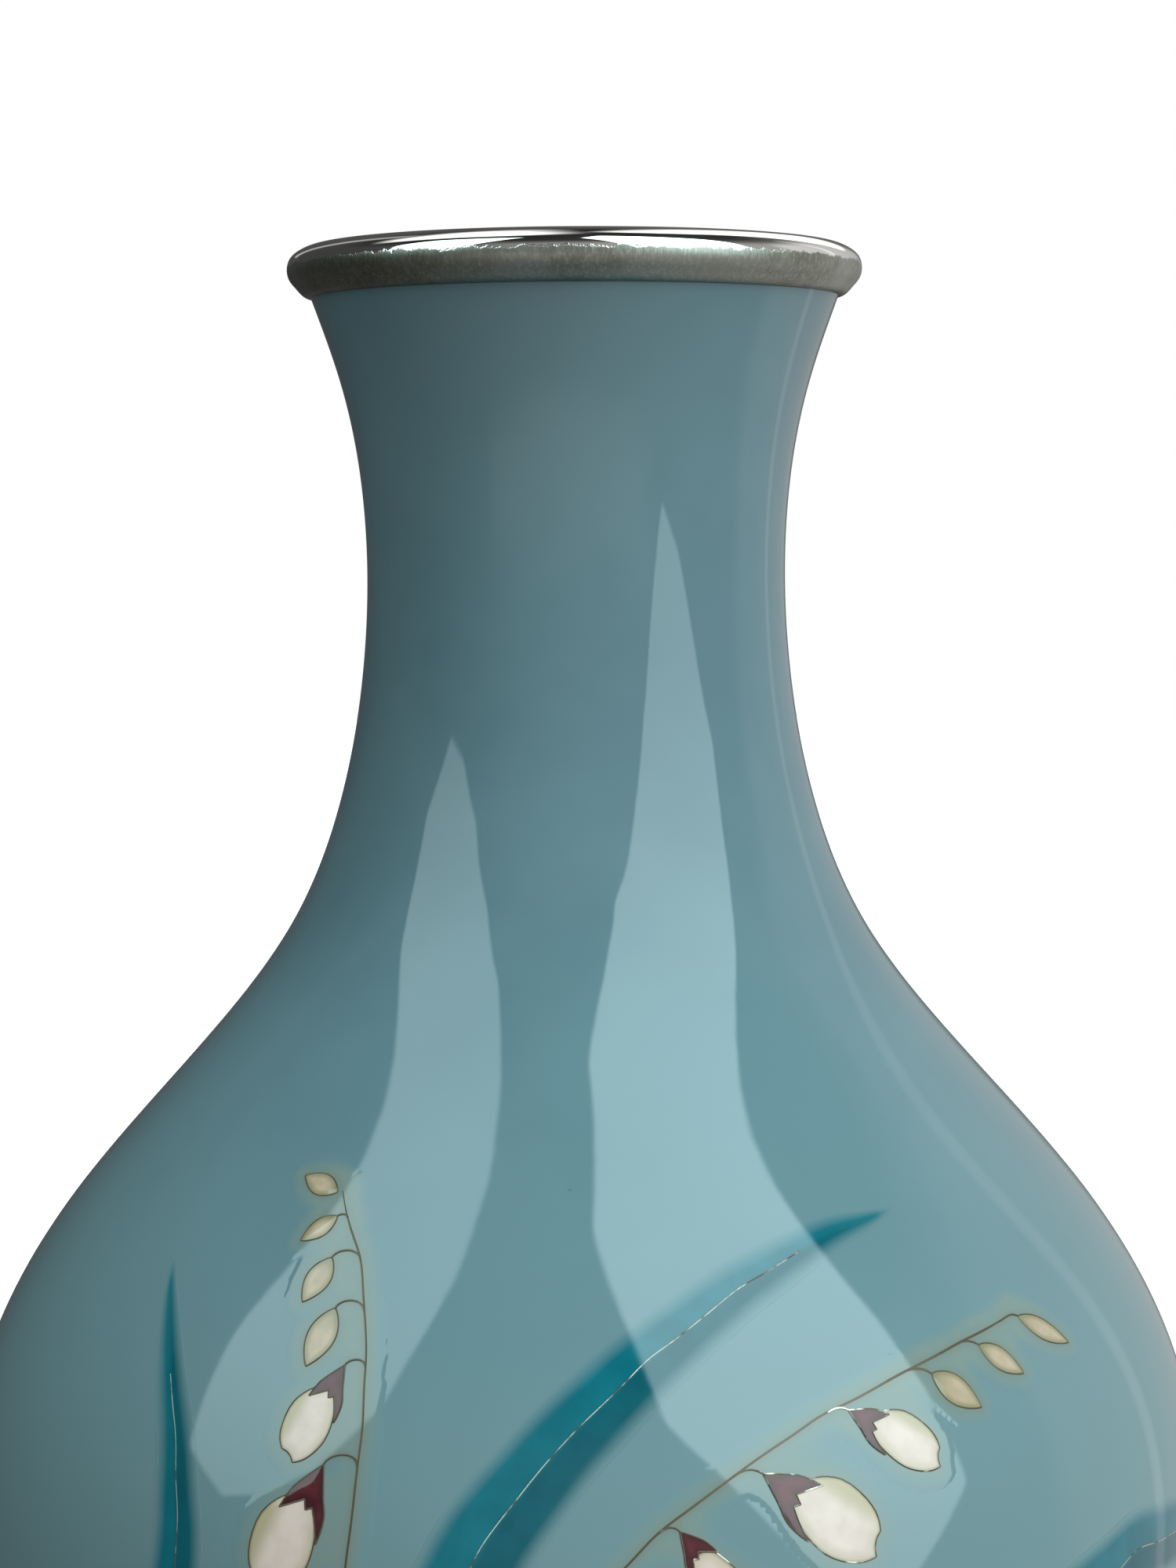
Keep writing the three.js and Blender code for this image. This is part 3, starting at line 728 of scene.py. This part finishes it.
def make_lining():
    """The counter enamel inside: a floor over the base disc, and a wall up to the mouth."""
    floor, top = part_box("counter_enamel_lining")[0][2] / MM, GROUND_TOP - LINING_DROP
    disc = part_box("copper_base_disc")[1][0] / MM
    outline = [
        (0, floor), (disc - 2, floor),
        *wall(GROUND_FOOT + LINING_OUTER_START, top, LINING_DEPTH, 90),
        *wall(GROUND_FOOT + LINING_INNER_START, top, LINING_DEPTH + LINING_THICKNESS, 90)[::-1],
        (disc - 3, floor + LINING_THICKNESS), (0, floor + LINING_THICKNESS),
    ]
    turned("counter_enamel_lining", outline, LINING)


def make_rim():
    """The bead round the mouth: a rolled ring, tucked under to meet the ground enamel."""
    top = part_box("rim_ring")[1][2] / MM
    inner_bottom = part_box("rim_ring")[0][2] / MM
    outer_bottom = GROUND_TOP + RIM_CLEARANCE
    bead = [(30.9, outer_bottom), (31.5, outer_bottom + 0.1)]
    bead += [(radius, top - drop) for radius, drop in BEAD]
    mouth, ceiling = bead[-1]
    groove_inside, groove_outside = 27.4, 30.8
    groove = [
        (mouth, inner_bottom), (groove_inside, inner_bottom), (groove_inside, ceiling),
        (groove_outside, ceiling), (groove_outside, outer_bottom),
    ]
    turned("rim_ring", [*smooth(bead, 60), *groove], PLATE)


def make_foot():
    """The foot ring: a moulding outside, and a groove in which the lower shell's foot stands."""
    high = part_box("foot_ring")[1]
    radius, top = high[0] / MM, high[2] / MM
    bore, groove_inside, groove_outside, groove_floor = 36.8, 37.9, 39.7, 2.3
    inside_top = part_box("base_enamel")[0][2] / MM - 0.5
    corners = [
        (bore, 0), (radius, 0), (radius, 3.4), (41.5, 5.2), (41.1, top),
        (groove_outside, top), (groove_outside, groove_floor), (groove_inside, groove_floor),
        (groove_inside, inside_top), (bore, inside_top),
    ]
    turned("foot_ring", rounded(corners, 0.6), PLATE)


make_ground()
make_copper()
make_disc("copper_base_disc", COPPER, 0.1)
make_disc("base_enamel", LINING, 0.3)
make_lining()
make_rim()
make_foot()


# ---- Lines and cells of the design ----------------------------------
STEM_WIDTH = 0.21
OUTLINE_WIDTH = 0.15
STALK_WIDTH = STEM_WIDTH * 0.8
RIB_WIDTH = 0.11
INSET = 0.35  # from the middle of an outline wire to the edge of its CAD enamel
BRACT_SPAN = 2.55  # the width of a CAD bract in half widths of its bud
BRACT_HEEL = 0.4  # how far it reaches behind the root
CAD_CELL_DEPTH = 0.7
CROWN = 0.03  # how far a cell's middle stands over its edge
FILL_INSET = 0.05  # from the middle of an outline wire to the edge of the drawn enamel
NODES = sorted(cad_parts)
STEM_LINES = {name: band(name, 40)[0] for name in NODES if name.startswith("stem")}


def curve_through(strokes, count):
    """A closed outline of smooth strokes that meet in corners."""
    return np.concatenate([smooth(stroke, count)[:-1] for stroke in strokes])


# Shapes of a flower, as (share of a length, half widths across) with the stem's side negative. That
# length is the bud's, or BRACT_REACH half widths for a bract. A bract clasps the root with two prongs
# and has a small barb between them.
BRACT_REACH = 3.6
HEEL = (-0.15, -0.02)
BRACT_STROKES = [
    [HEEL, (-0.03, -0.26), (0.09, -0.50), (0.24, -0.76), (0.40, -0.82)],
    [(0.40, -0.80), (0.28, -0.56), (0.17, -0.27)],
    [(0.17, -0.27), (0.21, -0.10)],
    [(0.21, -0.10), (0.14, 0.05)],
    [(0.14, 0.05), (0.19, 0.26), (0.29, 0.68)],
    [(0.29, 0.68), (0.14, 0.58), (0.02, 0.38), (-0.07, 0.18), HEEL],
]
# A mature bud is an egg that bulges away from the stem, with a nick beside its tip.
MATURE_STROKES = [
    [(0.03, -0.15), (0.22, -0.48), (0.43, -0.74), (0.61, -0.82), (0.79, -0.68), (1.0, -0.10)],
    [(1.0, -0.10), (0.955, 0.08), (0.925, 0.34)],
    [(0.925, 0.34), (0.925, 0.56)],
    [(0.925, 0.56), (0.80, 0.94), (0.64, 1.11), (0.49, 1.15), (0.34, 1.0), (0.18, 0.56), (0.03, -0.15)],
]


def young_shape():
    """A young bud's pointed oval."""
    shares = np.linspace(0, 1, 30)
    swell = np.sin(np.pi * shares**0.9) ** 0.85
    stem_side = np.stack([shares, -swell], -1)
    far_side = np.stack([shares, swell], -1)[::-1]
    return np.concatenate([stem_side, far_side[1:-1]])


class Flower:
    """A bud or blossom: its root, tip, width and joint with the stem, read from its nodes."""

    def __init__(self, name):
        self.name = name
        self.bracted = f"{name}_bract" in NODES
        front = f"{name}_enamel" if f"{name}_enamel" in NODES else f"{name}_front_tepal"
        self.sheet = Sheet(cell_outline(front).mean(axis=0))
        cells = [self.outline(front)]
        if self.bracted:
            cells.append(self.outline(f"{name}_bract"))
        every = np.concatenate(cells)
        ends = [every[i] for i in farthest_pair(every)]
        stems = np.concatenate([self.sheet.flat(line) for line in STEM_LINES.values()])
        root, tip = sorted(ends, key=lambda end: np.linalg.norm(stems - end, axis=1).min())
        self.along = normalised(tip - root)
        across = np.array([-self.along[1], self.along[0]])
        if self.bracted:
            self.unit = np.ptp(cells[1] @ across) / BRACT_SPAN
            self.root = root + BRACT_HEEL * self.unit * self.along
        else:
            self.unit = np.ptp(cells[0] @ across) / 2 + INSET
            self.root = root - INSET * self.along
        self.length = np.linalg.norm(tip - self.root) + INSET
        to_stem = self.stem_beside(self.root)[0] - self.root
        self.stalked = np.linalg.norm(to_stem) > 1
        self.across = across if to_stem @ across < 0 else -across

    def outline(self, node):
        return self.sheet.flat(cell_outline(node))

    def stem_beside(self, flat):
        """The flat point of the nearest stem that is as high as a flat point, and the way it rises."""
        height = self.sheet.places(flat)[1]
        beside = []
        for line in STEM_LINES.values():
            heights = np.minimum([height, height - 1], line[0, 1] - np.array([0, 1]))
            angles = np.interp(heights, line[::-1, 1], line[::-1, 0])
            beside.append(self.sheet.flat(np.stack([angles, heights], -1)))
        here, below = min(beside, key=lambda pair: np.linalg.norm(pair[0] - flat))
        return here, normalised(here - below)

    def at(self, points, length=None):
        """Flat points from shares of a length and half widths."""
        points = np.asarray(points, float)
        reach = points[..., :1] * (length or self.length)
        return self.root + reach * self.along + points[..., 1:] * self.unit * self.across

    def shape(self, points, length=None):
        """A closed anticlockwise flat outline of evenly spread points."""
        return anticlockwise(spread(self.at(points, length), 190, closed=True))

    def drawn(self):
        """The outline of the bud as it is drawn."""
        return self.shape(curve_through(MATURE_STROKES, 24) if self.bracted else young_shape())

    def stalk(self):
        """The stalk leaves the stem along it, arches over and comes down into the root."""
        heel = self.at(HEEL, BRACT_REACH * self.unit) if self.bracted else self.root
        joint, rising = self.stem_beside(heel)
        span = np.linalg.norm(heel - joint)
        leaving = joint + 0.45 * span * rising
        arriving = heel - 0.35 * span * self.along
        t = np.linspace(0, 1, 50)[:, None]
        u = 1 - t
        return u**3 * joint + 3 * u**2 * t * leaving + 3 * u * t**2 * arriving + t**3 * heel


def make_cell(flower, node, outline, rise, finish, spacing=0.3):
    """A filled cell. Its points know how far they are from the edge, across and along the flower."""
    flat, faces = filled(outline, spacing)
    edge = nearest(flat, np.concatenate([outline, outline[:1]]))
    steps = flat - flower.root
    values = {
        "edge": edge,
        "side": steps @ flower.across / flower.unit,
        "along": steps @ flower.along / flower.length,
    }
    crown = CROWN * np.minimum(edge, 1)
    points, closed = slab(flower.sheet.places(flat), faces, rise + crown)
    make_piece(node, points, closed, finish, [node], both_sides(values))


def make_wires(flower, outlines, bract, lines, finish, width):
    """One piece of wire: round each petal, round the bract that covers them, and the stalk."""
    node = f"{flower.name}_wire"
    parts = [strand(flower.sheet, outline, width, closed=True) for outline in outlines]
    parts += [strand(flower.sheet, outline, width, BRACT_WIRE_RISE, closed=True) for outline in bract]
    parts += [strand(flower.sheet, line, STALK_WIDTH, BRACT_WIRE_RISE) for line in lines]
    points, faces = joined(parts)
    make_piece(node, points, faces, finish, [node])


def make_bract(flower):
    """A bract's cell. Returns its outline, which the wire follows."""
    outline = flower.shape(curve_through(BRACT_STROKES, 14), BRACT_REACH * flower.unit)
    make_cell(flower, f"{flower.name}_bract", outline, BRACT_RISE, BRACT)
    return outline


def make_bud(bud):
    """A bud: its enamel, its bract if it has one, and one piece of wire."""
    outline = bud.drawn()
    enamel = f"{bud.name}_enamel"
    lines = [bud.stalk()] if bud.stalked else []
    finish = BRIGHT_WIRE if bud.bracted and "right" in bud.name else DARK_WIRE
    if bud.bracted:
        make_cell(bud, enamel, grown(outline, -FILL_INSET), FILL_RISE, PETAL)
        make_wires(bud, [outline], [make_bract(bud)], lines, finish, OUTLINE_WIDTH)
    else:
        make_cell(bud, enamel, grown(outline, -FILL_INSET), FILL_RISE, YOUNG, 0.2)
        make_wires(bud, [outline], [], lines, finish, OUTLINE_WIDTH)


def rounded_off(outline, reach):
    """A closed outline, evenly spread, with what is smaller than reach smoothed away."""
    even = spread(outline, 180, closed=True)
    gap = np.linalg.norm(even[1] - even[0])
    steps = max(int(reach / gap), 1)
    weights = np.hanning(2 * steps + 3)[1:-1]
    turns = np.arange(-steps, steps + 1)
    return sum(w * np.roll(even, t, axis=0) for w, t in zip(weights, turns)) / weights.sum()


def make_blossom(blossom):
    """An open flower: its tepals as they are in CAD, a bract, and one piece of wire."""
    tepals = [node for node in NODES if node.startswith(blossom.name) and node.endswith("tepal")]
    outlines = []
    for node in tepals:
        outline = anticlockwise(rounded_off(blossom.outline(node), 1.6))
        outlines.append(grown(outline, INSET * 0.8))
        make_cell(blossom, node, grown(outline, INSET * 0.6), FILL_RISE, PETAL, 0.45)
    make_wires(blossom, outlines, [make_bract(blossom)], [blossom.stalk()], BRIGHT_WIRE, OUTLINE_WIDTH)


def make_stem(name, line):
    """A stem's wire, tapered at its top end."""
    sheet = Sheet(line.mean(axis=0))
    path = smooth(sheet.flat(line)[:-1], 300)
    taper = np.clip(np.linspace(0.35, 14, len(path)), 0, 1)
    points, faces = strand(sheet, path, STEM_WIDTH * taper)
    make_piece(name, points, faces, DARK_WIRE, [name])


STATIONS, COLUMNS = 170, 25  # points along a leaf and across it
BROAD_FEATHER = 0.8  # the half width of a broad leaf's soft edge
NARROW_FEATHER = 0.12  # and of one that comes to nothing
LEAF_FOOT = 0.9  # the share of the length below which a leaf keeps its width
PALE_TIP = 0.10  # the share of the length over which the tip is paler
FADING_TIP = 0.02  # and over which it fades into the ground
SHADE_EDGE = 0.5  # the width over which the bright side of the rib turns into the deep side


def half_widths(share, widths):
    """A leaf's half widths at shares of its length, smoothed, and kept up at the foot."""
    half = np.interp(share, np.linspace(0, 1, len(widths)), widths) / 2
    half[share > LEAF_FOOT] = half[np.searchsorted(share, LEAF_FOOT)]
    window = np.hanning(19)[1:-1]
    return np.convolve(np.pad(half, 8, mode="edge"), window / window.sum(), "valid")


def make_leaf(node):
    """A leaf blade with feathered edges, from the CAD blade's middle line and widths."""
    line, widths = band(node, 30, CAD_CELL_DEPTH)
    sheet = Sheet(line.mean(axis=0))
    middle = smooth(sheet.flat(line), STATIONS)
    share = np.linspace(0, 1, STATIONS)
    half = half_widths(share, widths)
    along = normalised(np.gradient(middle, axis=0))
    across = np.stack([along[:, 1], -along[:, 0]], -1)
    soft = np.minimum(BROAD_FEATHER, NARROW_FEATHER + 0.45 * half)
    offset = (half + soft)[:, None] * np.linspace(-1, 1, COLUMNS)
    flat = middle[:, None] + offset[..., None] * across[:, None]
    # The sheet is true to size at its middle, so the steps round the vase are set right elsewhere.
    girth = OUTSIDE(sheet.places(middle)[:, 1]) / sheet.radius
    flat[..., 0] += (flat[..., 0] - middle[:, None, 0]) * (1 / girth[:, None] - 1)
    inner = (half[:, None] - np.abs(offset)) / soft[:, None]
    values = {
        "leaf": np.clip(inner * 0.5 + 0.5, 0, 1) * np.clip(share / FADING_TIP, 0.2, 1)[:, None],
        "shade": np.clip(0.5 - offset / SHADE_EDGE, 0, 1),
        "tip": np.clip(1 - share / PALE_TIP, 0, 1)[:, None] * np.ones(COLUMNS),
    }
    faces = grid_faces(COLUMNS, np.ndindex(STATIONS - 1, COLUMNS - 1))
    points, closed = slab(sheet.places(flat).reshape(-1, 2), faces, LEAF_RISE)
    make_piece(node, points, closed, LEAF, [node], both_sides(values))


def make_rib(node):
    """The fine wire along a leaf, from the middle line of its CAD wire."""
    line, _ = band(node, 24)
    sheet = Sheet(line.mean(axis=0))
    path = smooth(sheet.flat(line)[1:-1], 160)
    points, faces = strand(sheet, path, RIB_WIDTH)
    make_piece(node, points, faces, RIB_WIRE, [node])


STAIN_GRID = (np.arange(-48, 62, 0.42), np.arange(24, 143, 0.5))  # angles and heights
STAIN_DEPTH = 0.2
STEM_REACH, BUD_REACH, LINE_REACH = 2.7, 2.4, 0.6  # how far the stain spreads from each
SAGE_FROM, SAGE_SPAN = 0.45, 0.75  # the nearness at which sage begins, and from there to its deepest
SAGE_SHARE, OLIVE_SHARE = 0.8, 0.3  # the deepest that each gets
FAINTEST = 0.004  # less stain than this is left out
FULL_RISE = 0.03  # so much stain stands at its full rise, and less of it dips into the ground


def spray_points(flowers):
    """Points in space: along the stems, round the buds and blossoms, and along every thin line."""
    stems, buds = [], []
    for line in STEM_LINES.values():
        stems.extend(surface(*spread(line, 500).T))
    lines = list(stems)
    for flower in flowers:
        outline = surface(*flower.sheet.places(flower.drawn()).T)
        buds.extend(outline)
        if flower.stalked:
            lines.extend(surface(*flower.sheet.places(flower.stalk()).T))
        if not flower.bracted:
            lines.extend(outline)
    return stems, buds, lines


def distances(points, targets):
    """How far each point is from the nearest target, in mm."""
    tree = KDTree(len(targets))
    for i, target in enumerate(targets):
        tree.insert(target, i)
    tree.balance()
    return np.array([tree.find(point)[2] for point in points]) / MM


def stain_shares(points, flowers):
    """(sage, olive) at each point: sage between stem, stalks and buds, olive close to the wires."""
    to_stem, to_bud, to_line = [distances(points, targets) for targets in spray_points(flowers)]
    field = np.exp(-((to_stem / STEM_REACH) ** 2)) + np.exp(-((to_bud / BUD_REACH) ** 2))
    sage = np.clip((field - SAGE_FROM) / SAGE_SPAN, 0, 1)
    sage = sage**2 * (3 - 2 * sage) * SAGE_SHARE
    olive = OLIVE_SHARE * np.exp(-((to_line / LINE_REACH) ** 2))
    return sage, olive


def make_stain(flowers):
    """Stained glass round the sprays, in one thin piece that covers only what is stained."""
    angle, height = np.meshgrid(*STAIN_GRID)
    places = np.stack([angle.ravel(), height.ravel()], -1)
    sage, olive = stain_shares(surface(*places.T), flowers)
    strong = (sage + olive > FAINTEST).reshape(angle.shape)
    any_corner = strong[:-1, :-1] | strong[1:, :-1] | strong[:-1, 1:] | strong[1:, 1:]
    faces = grid_faces(angle.shape[1], zip(*np.nonzero(any_corner)))
    used, index = np.unique(np.array(faces), return_inverse=True)
    faces = [tuple(face) for face in index.reshape(-1, 4)]
    shown = np.clip((sage + olive)[used] / FULL_RISE, 0, 1)
    points, closed = slab(places[used], faces, STAIN_RISE * (2 * shown - 1), STAIN_DEPTH)
    values = both_sides({"sage": sage[used], "olive": olive[used]})
    make_piece("stained_ground", points, closed, STAIN, [], values)


def make_design():
    """Every wire and cell of the design, and the stained ground round them."""
    wires = [name for name in NODES if name.startswith(("bud", "blossom")) and name.endswith("_wire")]
    flowers = [Flower(name.removesuffix("_wire")) for name in wires]
    for name, line in STEM_LINES.items():
        make_stem(name, line)
    for flower in flowers:
        make = make_bud if flower.name.startswith("bud") else make_blossom
        make(flower)
    for node in NODES:
        if node.startswith("leaf") and node.endswith("_enamel"):
            make_leaf(node)
        if node.endswith("_rib_wire"):
            make_rib(node)
    make_stain(flowers)


make_design()


# ---- Floor, light and camera ----------------------------------------
def make_floor():
    """A pale floor that takes the vase's shadow, and that the polished glass doesn't mirror."""
    bpy.ops.mesh.primitive_circle_add(vertices=96, radius=3.0, fill_type="NGON")
    floor = bpy.context.object
    floor.name = "floor"
    made, tree = material("pale_floor")
    grain = tree.ramp(tree.noise(30, 4), 0.3, 0.7)
    inputs = {
        "Base Color": tree.mix(grain, (0.93, 0.90, 0.90), (0.96, 0.93, 0.93)),
        "Roughness": 0.9,
        "Emission Color": (1.0, 0.98, 0.97, 1),
        "Emission Strength": 0.3,
    }
    tree.principled(inputs)
    floor.data.materials.append(made)
    floor.visible_glossy = False
    floor.visible_diffuse = False


def direction(azimuth, elevation):
    """The way to look from the vase: azimuth 0 is towards the viewer, 90 to the right."""
    turn, rise = math.radians(azimuth), math.radians(elevation)
    return Vector((math.sin(turn) * math.cos(rise), -math.cos(turn) * math.cos(rise), math.sin(rise)))


def panel(tree, where, corners, softness):
    """How far a direction lies inside a soft-edged panel with these (azimuth, elevation) corners."""
    ways = [direction(*corner) for corner in corners]
    middle = sum(ways, Vector())
    share = 1.0
    for a, b in zip(ways, ways[1:] + ways[:1]):
        normal = a.cross(b).normalized()
        if normal.dot(middle) < 0:
            normal = -normal
        inputs = {0: where, 1: normal}
        side = tree.node("ShaderNodeVectorMath", inputs, operation="DOT_PRODUCT").outputs["Value"]
        share = tree.math("MULTIPLY", tree.ramp(side, -softness, softness), share)
    return share


# Soft panels of light round the vase: corners, softness of the edge and radiance.
PANELS = {
    "right window": (
        [(47, -9), (34, 14), (18, 39), (6, 70), (60, 84), (80, 57), (74, 12), (58, -3)], 0.012, 3.45),
    "left window": (
        [(-60, 15), (-51, 23), (-44, 38), (-42, 55), (-50, 74), (-90, 58), (-86, 36), (-79, 18),
         (-68, 12)], 0.012, 2.35),
    "screen on the right": ([(96, -35), (94, 0), (96, 35), (160, 35), (166, 0), (160, -35)], 0.12, 0.32),
    "thin light on the right": ([(126, -30), (126, 45), (130, 45), (130, -30)], 0.02, 0.3),
    "thin light on the left": ([(-153, 12), (-153, 45), (-160, 45), (-160, 12)], 0.02, 0.35),
    "back light": ([(150, 20), (152, 62), (172, 64), (168, 20)], 0.06, 2.2),
    "soft light behind": ([(-172, 48), (-172, 76), (-120, 76), (-120, 48)], 0.10, 2.0),
    "glow in front": ([(-45, -20), (-45, -3), (38, -3), (38, -20)], 0.12, 0.3),
}
ROOM_LEVEL = 0.26
WARM_WHITE = (1.0, 0.985, 0.965)
DAYLIGHT = (0.76, 0.98, 1.0)  # the colour of the windows' light


def room_level(tree, axes):
    """The room's own brightness: dim behind on the left, and darker overhead."""
    across = tree.math("SUBTRACT", axes[0], tree.math("MULTIPLY", axes[1], 0.6))
    level = tree.ramp(across, -1.1, 1.1, ROOM_LEVEL * 0.2, ROOM_LEVEL * 1.5)
    level = tree.math("MULTIPLY", level, tree.ramp(axes[2], 0.5, 0.85, 1.0, 0.12))
    return tree.math("MULTIPLY", level, tree.ramp(axes[2], -0.5, 0.0, 1.3, 1.0))


def background(tree, colour, strength):
    return tree.node("ShaderNodeBackground", {"Color": (*colour, 1), "Strength": strength}).outputs[0]


def make_light():
    """Light all round: a dim room, soft panels and two windows. The camera sees plain white."""
    world = bpy.data.worlds.new("studio")
    bpy.context.scene.world = world
    tree = Tree(world)
    where = tree.node("ShaderNodeTexCoord").outputs["Generated"]
    axes = tree.node("ShaderNodeSeparateXYZ", {0: where}).outputs
    level, daylight = room_level(tree, axes), 0.0
    higher = tree.ramp(axes[2], -0.1, 0.9, 0.75, 1.32)
    for name, (corners, softness, radiance) in PANELS.items():
        light = tree.math("MULTIPLY", panel(tree, where, corners, softness), radiance)
        if "window" in name:
            daylight = tree.math("ADD", daylight, tree.math("MULTIPLY", light, higher))
        else:
            level = tree.math("ADD", level, light)
    room, windows = background(tree, WARM_WHITE, level), background(tree, DAYLIGHT, daylight)
    lit = tree.node("ShaderNodeAddShader", {0: room, 1: windows}).outputs[0]
    seen = tree.node("ShaderNodeLightPath").outputs["Is Camera Ray"]
    inputs = {0: seen, 1: lit, 2: background(tree, (1, 1, 1), 1.0)}
    tree.output(tree.node("ShaderNodeMixShader", inputs).outputs[0], "ShaderNodeOutputWorld")


CAMERA_DISTANCE = 0.408  # metres in front of the vase's axis
CAMERA_HEIGHT = 0.212
CAMERA_TILT = 4.66  # degrees down
CAMERA_PAN = 0.203  # to the right
CAMERA_ROLL = 0.31
CAMERA_LENS = 79.11


def make_camera():
    """The photo's camera, just above the shoulder and looking slightly down."""
    data = bpy.data.cameras.new("camera")
    data.lens = CAMERA_LENS
    data.clip_start = 0.01
    camera = bpy.data.objects.new("camera", data)
    camera.location = (0, -CAMERA_DISTANCE, CAMERA_HEIGHT)
    turns = (90 - CAMERA_TILT, CAMERA_ROLL, -CAMERA_PAN)
    camera.rotation_euler = [math.radians(angle) for angle in turns]
    bpy.context.scene.collection.objects.link(camera)
    bpy.context.scene.camera = camera


bpy.context.scene.view_settings.view_transform = "Standard"
make_floor()
make_light()
make_camera()
